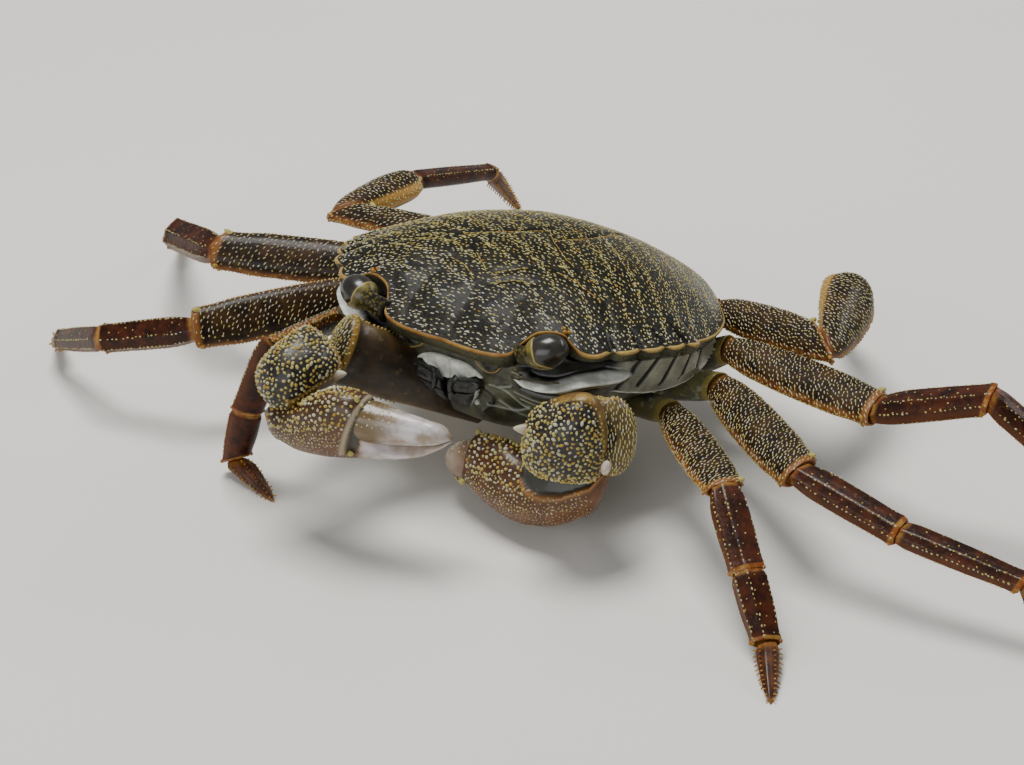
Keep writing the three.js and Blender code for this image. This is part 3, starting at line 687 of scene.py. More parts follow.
# Pale dashes in rows that cross the shell and bend forward at its sides
def layDashes(piece, top, shares, inside, notch, rng):
    scale, step = body["width"], carapace["dashStep"]
    reach, forward, rearward = carapace["dashField"]
    waver, waveAcross, waveBack = carapace["rowWave"]
    offAlong, offAcross = carapace["dashScatter"]
    across = np.arange(-reach, reach, 0.05)
    places = []
    for w in np.arange(forward, rearward, carapace["dashRows"]):
        wave = waver * np.sin(across * waveAcross + w * waveBack)
        back = w - carapace["rowCurve"] / scale * across * across + wave
        run = lengthAlong(np.column_stack([across, back]))
        stops = np.arange(rng.random() * step, run[-1], step)
        stops = stops + rng.normal(0, offAlong, len(stops))
        shift = rng.normal(0, offAcross, len(stops))
        places.append(np.column_stack([np.interp(stops, run, across), np.interp(stops, run, back) + shift]))
    places = np.vstack(places) / scale
    nearest = top.find(places)
    x, y = places.T
    ring, spoke = np.clip(nearest // len(notch), 0, len(shares) - 1), nearest % len(notch)
    outwards, rear = shares[ring], smoothstep(y, -0.2, 0.15)
    # the dashes thin out on the swellings, in the furrows and notches, and towards the rear
    bare = np.maximum(0.3 * slateAndSheen(x, y), furrow(x, y) / 0.009)
    bare = np.maximum(bare, notch[spoke] * smoothstep(outwards, 0.8, 0.88) * 0.9)
    keep = (inside[ring, spoke] > 1.5) & (rng.random(len(x)) > np.clip(bare, 0, 0.97))
    keep &= rng.random(len(x)) > mix(0.04, 0.14, rear)
    places, nearest, outwards, rear = (values[keep] for values in (places, nearest, outwards, rear))
    x, y = places.T
    count = len(x)
    heading = np.arctan(-2 * carapace["rowCurve"] * x) + rng.normal(0, 0.16, count)
    frontSide = smoothstep(np.abs(x), 0.24, 0.42) * (1 - smoothstep(y, -0.22, -0.02))
    long = rng.uniform(*carapace["dashLengths"], count) * mix(1.0, 0.68, frontSide) * mix(1, 0.86, rear)
    wide = rng.uniform(*carapace["dashWidths"], count) * mix(1.0, 1.35, frontSide) * mix(1, 0.72, rear)
    # tint runs from whitish through cream and gold to orange
    tint = 0.16 + rng.random(count) ** 1.3 * 0.45 + 0.35 * (rng.random(count) > 0.94)
    tint -= 0.12 * smoothstep(outwards, 0.8, 0.95) + 0.22 * smoothstep(-y, 0.15, 0.36)
    top.lay(piece, places, heading, long, wide, carapace["dashHeight"], tint, nearest)
    print("carapace has", count, "dashes")


# Golden seams, the pale rims of the oval scars and the knobs
def layMarks(piece, top, rng):
    for line in carapace["seams"]:
        points = throughFlat(line, 12)
        run = lengthAlong(points)
        stops = np.arange(carapace["seamStart"], run[-1], carapace["seamStep"])
        spots, ahead = (
            np.column_stack([np.interp(stops + step, run, values) for values in points.T])
            for step in (0, 0.004)
        )
        way = np.arctan2(*(ahead - spots).T[::-1])
        for side in sides.values():
            spot = spots * [side, 1] + rng.normal(0, 0.0008, spots.shape)
            heading = way if side > 0 else math.pi - way
            tint = rng.uniform(*carapace["seamTints"], len(spot))
            top.lay(piece, spot, heading, *carapace["seamMark"], tint)
    for x, y in carapace["scars"]:
        for side in sides.values():
            top.lay(piece, np.array([[side * x, y]]), np.array([0.3 * side]), *carapace["scarMark"])
    knobs = np.array([(side * x, y) for side in sides.values() for x, y in carapace["knobs"]])
    top.lay(piece, knobs, np.zeros(len(knobs)), *carapace["knobMark"])


def makeCarapace():
    margin, zone, notch = shellMargin()
    smooth = ironed(margin, carapace["ironing"])
    shares = np.concatenate([np.linspace(0.012, 0.9, 118), np.linspace(0.905, 1, 28)])
    grid = []
    for share in shares:
        edge = mix(smooth, margin, smoothstep(share, 0.72, 1))
        x, y = edge[:, 0] * share, edge[:, 1] * share
        height = mix(carapace["dome"], edge[:, 2], share ** carapace["domePower"])
        height += smoothstep(1 - share, 0, 0.12) * swell(x, y)
        height -= smoothstep(1 - share, 0.01, 0.1) * furrow(x, y)
        height -= 0.006 * notch * smoothstep(share, 0.86, 0.97)
        grid.append(np.column_stack([x, y, height]))
    grid = np.array(grid)
    # The rim: a bead along the edge, then its rounded outer face and the turn under
    wide = np.interp(zone, (0, 1, 2), carapace["rimWidths"]) * (1 - 0.55 * notch) / body["width"]
    inside = (1 - shares)[:, None] * np.hypot(margin[:, 0], margin[:, 1]) / wide
    rise = np.interp(zone, (0, 1, 2), carapace["rimRises"])
    grid[:, :, 2] += pulse(inside, 0.5, 0.55) * rise * (1 - notch)
    x, y, z = margin.T
    lip, under = [], []
    for angle in np.radians([15, 35, 60, 90]):
        out = 1 - 0.006 * (1 - math.cos(angle))
        lip.append(np.column_stack([x * out, y * out, z - 0.5 * carapace["rim"] * math.sin(angle)]))
    for share in (0.975, 0.86, 0.55):
        under.append(np.column_stack([x * share, y * share, seam(y * share) + 0.15 / body["width"]]))
    whole = np.concatenate([grid, lip, under])
    x, y = whole[:, :, 0], whole[:, :, 1]
    full = np.ones_like(x)
    beyond = np.array([1, 0.6, 0.1, 0, 0, 0, 0])[:, None] * full[:1]  # gold on the lip, none below
    gold = np.vstack([1 - smoothstep(inside, 0.85, 1.15), beyond]) * (1 - 0.8 * notch)
    share = np.append(shares, np.ones(len(beyond)))[:, None]
    # the furrows and notches, which are painted near-black as shade
    groove = np.maximum(0.7 * np.clip(furrow(x, y) / 0.006, 0, 1), notch * smoothstep(share, 0.82, 0.9))
    scar = np.max([oval(x, y, *place, 0.011, 0.006, 0.8) for place in carapace["scars"]], axis=0)
    turned = np.concatenate([np.zeros(len(shares) + 2), [0.5, 1, 1, 1, 1]])[:, None] * full
    piece = Piece("carapaceShell")
    tags = {"gold": gold, "bloom": slateAndSheen(x, y), "groove": groove, "scar": scar, "turned": turned}
    piece.tube(bodyPlace(whole), lobed=smoothstep(np.abs(x), 0.3, 0.44), **tags)
    rng = np.random.default_rng(7)
    top = ShellTop(grid)
    layDashes(piece, top, shares, inside, notch, rng)
    layMarks(piece, top, rng)
    return piece


underside = {
    "waist": [
        (0, -0.405), (0.1, -0.408), (0.2, -0.404), (0.3, -0.378), (0.375, -0.318), (0.43, -0.235),
        (0.468, -0.14), (0.483, -0.04), (0.477, 0.06), (0.447, 0.165), (0.385, 0.258), (0.3, 0.34),
        (0.2, 0.392), (0.1, 0.405), (0, 0.408),
    ],
    # height, then how much of the waist is left across, in front and behind
    "levels": [
        (-0.11, 1.0, 0.985, 0.98), (-0.15, 0.95, 0.96, 0.92), (-0.18, 0.84, 0.93, 0.82),
        (-0.23, 0.68, 0.89, 0.7), (-0.27, 0.56, 0.84, 0.6), (-0.285, 0.42, 0.7, 0.45),
    ],
    # Folds and ridges of the face, drawn on its left half from in front: points, half width, rise and tone
    "face": [
        (
            [
                (0.2, -0.092), (0.222, -0.106), (0.262, -0.109), (0.301, -0.102), (0.345, -0.084),
                (0.384, -0.076), (0.421, -0.069),
            ],
            0.011, 0.026, "pale",
        ),
        (
            [(0.205, -0.124), (0.24, -0.131), (0.272, -0.132), (0.312, -0.124), (0.37, -0.102)],
            0.005, -0.006, "dark",
        ),
        (
            [
                (0.3, -0.12), (0.345, -0.103), (0.385, -0.092), (0.41, -0.084), (0.424, -0.097),
                (0.417, -0.124),
            ],
            0.003, 0.006, "gold",
        ),
        (
            [(0.148, -0.086), (0.136, -0.099), (0.114, -0.106), (0.089, -0.095), (0.077, -0.083)],
            0.0028, 0.006, "gold",
        ),
        ([(0.178, -0.128), (0.154, -0.137), (0.117, -0.143)], 0.0045, 0.006, "faint"),
        ([(0.131, -0.137), (0.173, -0.152), (0.205, -0.181), (0.238, -0.196)], 0.0035, 0.005, "faint"),
        ([(0.219, -0.184), (0.186, -0.202), (0.134, -0.205), (0.102, -0.206)], 0.0035, 0.004, "faint"),
        ([(0.139, -0.184), (0.186, -0.209), (0.215, -0.22)], 0.003, 0.004, "faint"),
        ([(0.185, -0.142), (0.25, -0.158), (0.32, -0.155), (0.4, -0.138)], 0.002, 0.003, "faint"),
        ([(0.2, -0.16), (0.26, -0.176), (0.33, -0.172), (0.41, -0.152)], 0.002, 0.003, "faint"),
        ([(0.23, -0.18), (0.29, -0.193), (0.36, -0.187)], 0.002, 0.003, "faint"),
        ([(0, -0.105), (0.044, -0.105), (0.074, -0.115), (0.094, -0.129)], 0.003, 0.006, "pale"),
        ([(0, -0.16), (0.024, -0.162), (0.051, -0.145), (0.072, -0.13)], 0.003, 0.007, "pale"),
        ([(0.1, -0.16), (0.12, -0.175), (0.118, -0.2), (0.09, -0.235)], 0.006, 0.006, "dark"),
    ],
    # Heights of three edges of the face at places across it: the pale ridge below the eye, and the top and
    # bottom of the mouth plate
    "eyeRidge": ((0.19, 0.24, 0.3, 0.345, 0.42), (-0.09, -0.106, -0.1, -0.083, -0.069)),
    "plateTop": ((0, 0.044, 0.074, 0.094), (-0.105, -0.105, -0.115, -0.129)),
    "plateBottom": ((0, 0.024, 0.051, 0.072, 0.094), (-0.16, -0.162, -0.145, -0.13, -0.128)),
    "hollowDepth": 0.034,
    "bulb": (0.113, -0.084, 0.015, 0.012),  # place across and up, half width and rise
    # The side wall's fold, as places from front to rear and their heights, and its slanting dark bands
    "fold": [
        (-0.3, -0.108), (-0.277, -0.112), (-0.193, -0.132), (-0.12, -0.14), (-0.013, -0.15),
        (0.038, -0.141), (0.093, -0.129), (0.119, -0.108), (0.13, -0.09),
    ],
    "bands": [
        [(-0.21, -0.02), (-0.28, -0.114)], [(-0.16, -0.029), (-0.219, -0.104)],
        [(-0.1, -0.04), (-0.15, -0.115)], [(-0.036, -0.055), (-0.075, -0.118)],
        [(0.021, -0.06), (0.0, -0.11)],
    ],
    "lineSpacing": 0.0062,
    "breastFurrows": (-0.2, -0.08, 0.05, 0.17),
}


# The body's rings before its folds, and the outward direction at each of their columns.
def undersideRings():
    waist = [(*p, 0) for p in underside["waist"]]
    frontSpans, fineSteps, coarseSteps = 7, 44, 12  # finer in front, where the face is
    fine = throughPoints(waist, fineSteps)[: frontSpans * fineSteps]
    coarse = throughPoints(waist, coarseSteps)[frontSpans * coarseSteps :]
    half = np.vstack([fine, coarse])[:, :2]
    outline = np.vstack([half, half[1:-1][::-1] * [-1, 1]])
    height = seam(outline[:, 1]) - 0.0092
    rings = [np.column_stack([outline * share, height]) for share in (0.55, 0.8, 0.93, 1.0)]
    levels = np.array(underside["levels"])
    knots = np.column_stack([np.linspace(0, 1, len(levels)), levels])
    lower = []
    for height, across, front, behind in readOff(knots, np.linspace(0, 1, 84)):
        long = np.where(outline[:, 1] < 0, front, behind)
        level = np.full(len(outline), height)
        lower.append(np.column_stack([outline[:, 0] * across, outline[:, 1] * long, level]))
    rings += [mix(rings[3], lower[0], u) for u in np.linspace(0, 1, 32)[1:-1]] + lower
    tangent = np.roll(outline, -1, 0) - np.roll(outline, 1, 0)
    outward = unit(np.column_stack([tangent[:, 1], -tangent[:, 0]]))
    return np.array(rings), outward * np.sign(np.sum(outward * outline, -1, keepdims=True))


def makeUnderside():
    whole, outward = undersideRings()
    x, y, z = np.abs(whole[:, :, 0]), whole[:, :, 1], whole[:, :, 2]
    front = 1 - smoothstep(y, -0.3, -0.2)
    # the pale breastplate, faded out towards the front, where its dark ground is left as painted shadow
    # under the body
    belly = (1 - smoothstep(z, -0.26, -0.2)) * smoothstep(y, -0.37, -0.26)
    rise = np.zeros(x.shape)
    tones = {name: np.zeros(x.shape) for name in ("pale", "faint", "gold", "dark")}

    def press(mark, high, tone, share=1.0):
        rise[:] += high * mark
        tones[tone][:] = np.maximum(tones[tone], share * mark)

    # the hollow that each eye lies in, over the pale ridge below it, painted dark as shade
    ridge = np.interp(x, *underside["eyeRidge"])
    hollow = between(x, 0.19, 0.22, 0.39, 0.43) * smoothstep(z, ridge, ridge + 0.012) * front
    press(hollow, -underside["hollowDepth"], "dark")
    for line, width, high, tone in underside["face"]:
        press(pulse(fromLine(x, z, line, 4), 0, width) * front, high, tone)
    # the pale plate over the mouth, with its slit, and the dark bulb in the pit on either side
    top, bottom = np.interp(x, *underside["plateTop"]), np.interp(x, *underside["plateBottom"])
    plate = between(z, bottom - 0.003, bottom, top, top + 0.003) * (x < 0.095) * front
    press(plate, 0.006, "pale", 0.85)
    press(pulse(x, 0, 0.003) * plate, -0.01, "dark")
    across, up, halfWidth, high = underside["bulb"]
    press(pulse(np.hypot(x - across, z - up), 0, halfWidth) * front, high, "dark")
    # the side wall: fine lines along its fold, slanting bands across them, and a recess below
    fold = np.interp(y, *np.array(underside["fold"]).T)
    side = smoothstep(x, 0.36, 0.42) * between(y, -0.31, -0.27, 0.12, 0.15)
    above = smoothstep(z, fold - 0.004, fold + 0.004)
    stripe = 0.5 + 0.5 * np.cos((z - fold + 0.006 * np.sin(y * 21)) / underside["lineSpacing"] * 2 * math.pi)
    below = side * (1 - above)
    rise += side * 0.001 * stripe * above - below * 0.014 * smoothstep(z, -0.26, -0.2)
    press(pulse(z - fold, 0, 0.004) * side, 0.010, "pale")
    for line in underside["bands"]:
        press(pulse(fromLine(y, z, line, 2), 0, 0.0065) * side * above, -0.006, "dark")
    rise[:4] = 0
    whole[:, :, :2] += outward[None] * rise[:, :, None]
    # the breastplate's furrows, between the legs
    for groove in underside["breastFurrows"]:
        whole[:, :, 2] += 0.008 * pulse(y - 0.25 * x, groove, 0.008) * belly * smoothstep(x, 0.02, 0.06)
    piece = Piece("bodyUnderside")
    piece.tube(bodyPlace(whole), side=side, stripe=stripe * side * above, below=below, belly=belly, **tones)
    return piece


abdomen = {
    # y, z and half width, from the rear edge down and forward under the body
    "path": [
        (0.37, -0.12, 0.2), (0.335, -0.2, 0.22), (0.24, -0.27, 0.24), (0.1, -0.3, 0.22),
        (-0.06, -0.305, 0.14), (-0.16, -0.3, 0.05),
    ],
    "segments": 6.5,
    "halfThickness": 0.019,
    "crease": 0.006,
}


def makeAbdomen():
    t = np.linspace(0, 1, 130)
    line = readOff(np.column_stack([np.linspace(0, 1, len(abdomen["path"])), abdomen["path"]]), t)
    step = unit(np.gradient(line[:, :2], axis=0))
    angles = fullTurn(56)
    segment = (t * abdomen["segments"]) % 1
    seamAway = np.minimum(segment, 1 - segment)
    rings = []
    for (y, z, wide), (dy, dz), place, away in zip(line, step, segment, seamAway):
        crease = abdomen["crease"] * pulse(away, 0, 0.07)
        thick = abdomen["halfThickness"] + 0.003 * math.sin(place * math.pi) - crease
        a = broad(np.cos(angles), 0.8) * (wide - crease)
        b = broad(np.sin(angles), 0.8) * thick
        rings.append(np.column_stack([a, y - b * dz, z + b * dy]))
    piece = Piece("abdomenPlates")
    piece.tube(bodyPlace(np.array(rings)), along=t[:, None], crease=pulse(seamAway, 0, 0.09)[:, None])
    return piece


# Each mouth cover leans in towards the midline as it goes down, with a pale outer edge and a palp on top.
mouth = {
    # share of the way down, then height, forward place, distance from the midline and half width
    "cover": [
        (0, -0.138, -0.402, 0.058, 0.014), (0.08, -0.144, -0.411, 0.058, 0.036),
        (0.3, -0.165, -0.411, 0.054, 0.045), (0.55, -0.192, -0.4, 0.046, 0.042),
        (0.8, -0.215, -0.382, 0.038, 0.034), (1, -0.24, -0.35, 0.032, 0.014),
    ],
    "joint": 0.42,  # share of the way down
    "palp": [
        (0.034, -0.415, -0.142), (0.024, -0.428, -0.156), (0.024, -0.429, -0.172), (0.03, -0.422, -0.188),
    ],
    "palpRadius": 0.011,
    "knob": [(0.09, -0.4, -0.19), (0.092, -0.404, -0.196), (0.089, -0.402, -0.202)],
    "knobRadii": (0.004, 0.009, 0.004),
}


def tubeAlong(path, radii, columns):
    steps = unit(np.gradient(path, axis=0))
    side = unit(np.cross(steps, [0.13, 1.0, 0.21]))  # a direction that no path here runs in
    angles = fullTurn(columns)[None, :, None]
    ring = np.cos(angles) * side[:, None] + np.sin(angles) * np.cross(steps, side)[:, None]
    return path[:, None] + ring * np.broadcast_to(radii, (len(path),))[:, None, None]


def makeMaxilliped(label):
    flip = [sides[label], 1, 1]
    t = np.linspace(0, 1, 90)
    angles = fullTurn(64)
    rings = []
    for (z, y, x, wide), u in zip(readOff(mouth["cover"], t), t):
        joint = 0.007 * pulse(u, mouth["joint"], 0.02)
        a = broad(np.cos(angles), 0.8) * (wide - 0.4 * joint)
        b = broad(np.sin(angles), 0.7) * (min(wide, 0.017) - joint)
        hollow = 0.005 * pulse(np.cos(angles), -0.1, 0.3) * (np.sin(angles) < 0) * smoothstep(u, 0.05, 0.2)
        rings.append(np.column_stack([x + a, y + b + hollow, z + 0.25 * a]))
    piece = Piece(f"mouthCover{label.capitalize()}")
    edge = smoothstep(np.cos(angles), 0.8, 0.93)[None, :] * smoothstep(t, 0.25, 0.4)[:, None]
    piece.tube(bodyPlace(np.array(rings) * flip), edge=edge, joint=pulse(t, mouth["joint"], 0.03)[:, None])
    palp = throughPoints(mouth["palp"] * np.array(flip), 10)
    t = np.linspace(0, 1, len(palp))
    radii = mouth["palpRadius"] * (1 - 0.45 * t) * (1 - 0.2 * np.abs(np.sin(9 * t)))
    piece.tube(bodyPlace(tubeAlong(palp, radii, 16)), edge=0.15, joint=0.0)
    knob = tubeAlong(mouth["knob"] * np.array(flip), mouth["knobRadii"], 12)
    piece.tube(bodyPlace(knob), edge=1.0, joint=0.0)
    return piece


eyes = {
    "halfSizes": (0.055, 0.043, 0.042),
    "turn": 20,  # degrees back from straight out to the side
    "left": {"middle": (0.281, -0.42, 0.004), "rise": 0.42, "stem": 0.95},
    "right": {"middle": (0.272, -0.418, -0.001), "rise": 0.12, "stem": 1.25},
    "stalkRoot": (0.19, -0.405, -0.035),
    "cupStart": 0.17,
    "cupGrow": 1.05,  # size of the cup against the eye
    "lid": (0.36, 0.17),  # how far along the stalk's cup covers the eye, and how much further below
    "columns": 64,
}


def eyeAxes(label):
    turn = math.radians(eyes["turn"])
    along = unit([sides[label] * math.cos(turn), math.sin(turn), eyes[label]["rise"]])
    across = unit(np.cross([0, 0, 1.0], along))
    return along, across, np.cross(along, across)


# A point of the eye's egg at each lean from its inner end, 0, to its outer end, 1, and each angle round it
def eyeRing(label, lean, angles, grow=1.0):
    along, across, through = eyeAxes(label)
    a, b, c = np.array(eyes["halfSizes"]) * grow
    lean = np.broadcast_to(lean, angles.shape) * math.pi
    egg = np.sin(lean) ** 0.92
    flat = np.outer(np.cos(angles) * egg * b, across) + np.outer(np.sin(angles) * egg * c, through)
    return np.array(eyes[label]["middle"]) * [sides[label], 1, 1] - np.outer(np.cos(lean) * a, along) + flat


def makeEye(label):
    t = np.linspace(0.04, 0.985, 56)
    piece = Piece(f"eye{label.capitalize()}")
    rings = [eyeRing(label, u, fullTurn(eyes["columns"])) for u in t]
    piece.tube(bodyPlace(np.array(rings)), outer=t[:, None])
    return piece


def makeStalk(label):
    angles = fullTurn(eyes["columns"])
    down = np.sin(angles) * (-1 if eyeAxes(label)[2][2] > 0 else 1)
    reach, lower = eyes["lid"]
    last = reach + lower * smoothstep(down, 0.1, 0.9)
    start, grow = eyes["cupStart"], eyes["cupGrow"]
    first = eyeRing(label, start, angles, grow)
    middle = first.mean(0)
    root = np.array(eyes["stalkRoot"]) * [sides[label], 1, 1]
    stout = eyes[label]["stem"]
    stem = [mix(root, middle, u) + (first - middle) * mix(stout, 1.0, u) for u in np.linspace(0, 1, 16)[:-1]]
    cup = [eyeRing(label, mix(start, last, u), angles, grow) for u in np.linspace(0, 1, 34)]
    lip = [eyeRing(label, last + 0.012, angles, turnedIn) for turnedIn in (1.045, 1.01, 0.97)]
    ramps = [np.linspace(-1, 0, len(stem)), np.linspace(0, 1, len(cup)), np.full(len(lip), 1.1)]
    share = np.concatenate(ramps)
    piece = Piece(f"eyeStalk{label.capitalize()}")
    piece.tube(bodyPlace(np.array(stem + cup + lip)), along=share[:, None])
    return piece


feeler = {
    "path": [(0.205, -0.44, -0.074), (0.235, -0.445, -0.072), (0.28, -0.444, -0.068), (0.33, -0.43, -0.062)],
    "radii": (0.0095, 0.0035),
    "whipFrom": (0.28, 0.32),  # where its stout base narrows, as shares of the way
}


def makeFeeler(label):
    path = throughPoints(feeler["path"] * np.array([sides[label], 1, 1]), 24)
    t = np.linspace(0, 1, len(path))
    narrowed = 1 - 0.35 * smoothstep(t, *feeler["whipFrom"])
    radii = mix(*feeler["radii"], t) * (1 + 0.1 * np.sin(t * 120)) * narrowed
    piece = Piece(f"feeler{label.capitalize()}")
    piece.tube(bodyPlace(tubeAlong(path, radii, 20)))
    return piece


legs = {
    # socket in shell widths, then lengths and widths of merus, carpus, propodus and dactylus in mm
    2: {"socket": (0.35, -0.12, -0.2), "lengths": (22.6, 11.8, 9.0, 8.8), "widths": (5.2, 4.5, 4.3, 3.0)},
    3: {"socket": (0.38, 0.03, -0.2), "lengths": (27.1, 15.2, 16.4, 10.7), "widths": (5.8, 4.1, 3.5, 2.7)},
    4: {"socket": (0.36, 0.15, -0.19), "lengths": (27.7, 15.8, 18.0, 11.8), "widths": (5.9, 4.7, 3.9, 2.8)},
    5: {"socket": (0.27, 0.25, -0.16), "lengths": (21.2, 15.0, 18.2, 12.4), "widths": (5.4, 6.9, 4.4, 2.8)},
    "depthOfWidth": (0.9, 0.52, 0.62, 0.64, 0.8),  # from the hip to the toe
    "hipOfThigh": 0.72,  # width of the hip against the thigh
    "gap": 0.3,  # mm between neighbours
    # hip in shell widths, then heading and slope of merus, carpus and propodus, heading of the dactylus,
    # and roll
    "stances": [
        ("left", 2, (0.5, -0.15, -0.18), (44, 3, 46, -29, 43, -42, 60), 5),
        ("left", 3, (0.535, 0.03, -0.157), (40, 3, 8, -12, 1, -8, 1), 20),
        ("left", 4, (0.487, 0.165, -0.112), (19, 4, -3, 18, -8, -37, -8), 20),
        ("left", 5, (0.37, 0.325, -0.09), (20, 9, -101, 4, -122, -36, -135), 30),
        ("right", 2, (0.43, -0.17, -0.17), (95, 13, 3, -64, -5, -71, 157), -50),
        ("right", 3, (0.46, -0.02, -0.17), (52, 0, 10, -14, -24, -23, -46), 65),
        ("right", 4, (0.47, 0.12, -0.155), (23, 5, -27, -12, -51, -26, -55), 45),
        ("right", 5, (0.42, 0.31, -0.095), (-3, -3, -94, -3, -100, -16, -88), 5),
    ],
    # share of the way along, then of the full width and the full depth
    "profiles": {
        "ischium": [(0, 1, 1), (0.6, 1, 1), (0.9, 0.92, 0.95), (1, 0.9, 0.9)],
        "merus": [
            (0, 0.64, 0.76), (0.1, 0.82, 0.92), (0.4, 1.02, 1), (0.75, 1.03, 0.98), (0.93, 0.92, 0.92),
            (0.975, 0.92, 0.95), (1, 0.84, 0.86),
        ],
        "leaf": [
            (0, 0.5, 0.75), (0.12, 0.72, 0.9), (0.4, 1, 1), (0.68, 1.12, 1), (0.86, 0.98, 0.95),
            (0.96, 0.7, 0.85), (1, 0.5, 0.7),
        ],
        "carpus": [
            (0, 0.8, 0.85), (0.12, 0.94, 0.98), (0.5, 1.02, 1), (0.88, 0.97, 0.96), (0.96, 0.99, 1),
            (1, 0.9, 0.9),
        ],
        "propodus": [
            (0, 0.88, 0.9), (0.1, 1, 1), (0.6, 0.96, 0.96), (0.9, 0.86, 0.88), (0.96, 0.88, 0.92),
            (1, 0.8, 0.84),
        ],
        "dactylus": [(0, 0.82, 0.82), (0.12, 1, 1), (0.5, 0.76, 0.8), (0.8, 0.48, 0.52), (1, 0.24, 0.3)],
    },
    "slots": {"ischium": "hip", "merus": "thigh", "carpus": "shin", "propodus": "shin", "dactylus": "toe"},
    "knuckleOfDepth": 0.3,
    "squareness": 0.88,
    "socketRim": ((0.06, 0.95), (0.0, 0.88), (-0.35, 0.82), (-0.6, 0.6)),  # push outward in mm, then size
    # turns round a limb, as shares: 0 is its front edge, 0.75 its top and 0.5 its back edge
    "shinRidges": (0.9, 0.77, 0.6, 0.03),
    "toeRows": (0.0, 0.16, 0.34, 0.5, 0.66, 0.84),
    # spacing in mm of the dashes on each side's thighs, and the ranges of their length, width and tint
    "dashSpacing": {1: 0.46, -1: 0.56},
    "dashes": ((0.34, 0.68), (0.15, 0.22), (0, 0.42)),
    # grains in the open: spacing, range of sizes, shape and range of tints
    "thighGrains": (0.8, (0.22, 0.42), (1, 0.85, 0.1, 0), (0.25, 0.75)),
    "shinGrains": (1.15, (0.16, 0.34), (1, 0.8, 0.05, 0), (0.3, 0.8)),
    # grains in rows: spacing, from and to which share of the segment, and how far they stray
    "thighRow": (0.52, 0.14, 0.94, 0.5),
    "shinRow": (0.66, 0.16, 0.93, 0.25),
    "toeRow": (0.72, 0.2, 0.97, 0.3),
    "thighEdges": ((0.0, 0.6), (0.5, 0.4)),  # turn and tint of the toothed edges
    "thighTooth": (0.36, 0.28, 0.16),  # length, width and height
    "beadSizes": (0.24, 0.46),
    "beadTints": (0.08, 0.63),
    "spineSizes": (0.38, 0.62),
    # the spine and knobs over the knee, and the shin's end knobs: turn, size and tint
    "kneeKnobs": ((0.56, 1.3, 0.45), (0.93, 0.8, 0.7), (0.03, 0.6, 0.9), (0.47, 0.6, 0.85)),
    "shinKnobs": (0.02, 0.48),
    "shinKnob": (0.6, 0.5, 0.22, 0.85),  # length, width, height and tint
    "knobRim": 10,  # corners round a knob
}


def aim(side, heading, slope):
    heading, slope = math.radians(heading), math.radians(slope)
    flat = math.cos(slope)
    return np.array([side * math.cos(heading) * flat, -math.sin(heading) * flat, math.sin(slope)])


# How near a place round a limb is to a turn of it, both as shares of the way round.
def nearTurn(share, turn, width):
    return pulse(np.abs((share - turn + 0.5) % 1 - 0.5), 0, width)


# A limb segment between two planes, as a grid of points. Its near end is a rounded knuckle that sits in the
# segment before it, and its far end a shallow socket with a rim.
def limbGrid(start, end, normals, level, width, depth, profile, shape, socket):
    rows, columns = 60, 72
    length = np.linalg.norm(end - start)
    along = (end - start) / length
    across = squareTo(level, along)
    through = np.cross(along, across)
    angles = fullTurn(columns)
    even = np.linspace(0, 1, rows)
    t = mix((1 - np.cos(even * math.pi)) / 2, even, 0.55)
    table = readOff(profile, t)
    gap = legs["gap"] / 2
    knuckle = legs["knuckleOfDepth"] * depth
    share = angles / (2 * math.pi)
    a, b = (broad(wave, legs["squareness"]) * shape(share) for wave in (np.cos(angles), np.sin(angles)))

    def ring(u, wide, deep, push=0.0, scale=1.0):
        offset = (np.outer(a * width / 2 * wide, across) + np.outer(b * depth / 2 * deep, through)) * scale
        planes = zip(normals, (gap, -gap))
        first, last = ((clear - offset @ normal) / np.dot(along, normal) for normal, clear in planes)
        return start + offset + np.outer(mix(first, length + last, u) + push, along)

    leans = np.linspace(0.12, 1, 8)[:-1] * math.pi / 2
    grid = [ring(0, *table[0], -knuckle * math.cos(lean), math.sin(lean) * 0.98) for lean in leans]
    grid += [ring(u, *stout) for u, stout in zip(t, table)]
    kinds = [-1.0] * len(leans) + list(t)
    if socket:
        grid += [ring(1, *table[-1], push, scale) for push, scale in legs["socketRim"]]
        kinds += [2.0] * len(legs["socketRim"])
    return np.array(grid), np.array(kinds)[:, None], share[None, :]


def legJoints(side, leg, hip, turns):
    joints = [bodyPlace([side * x, y, z]) for x, y, z in (legs[leg]["socket"], hip)]
    for i in range(3):
        joints.append(joints[-1] + aim(side, turns[2 * i], turns[2 * i + 1]) * legs[leg]["lengths"][i])
    toe = legs[leg]["lengths"][3]
    dip = math.degrees(math.asin(joints[-1][2] / toe))  # takes the tip down to the floor
    return joints + [joints[-1] + aim(side, turns[6], -dip) * toe]


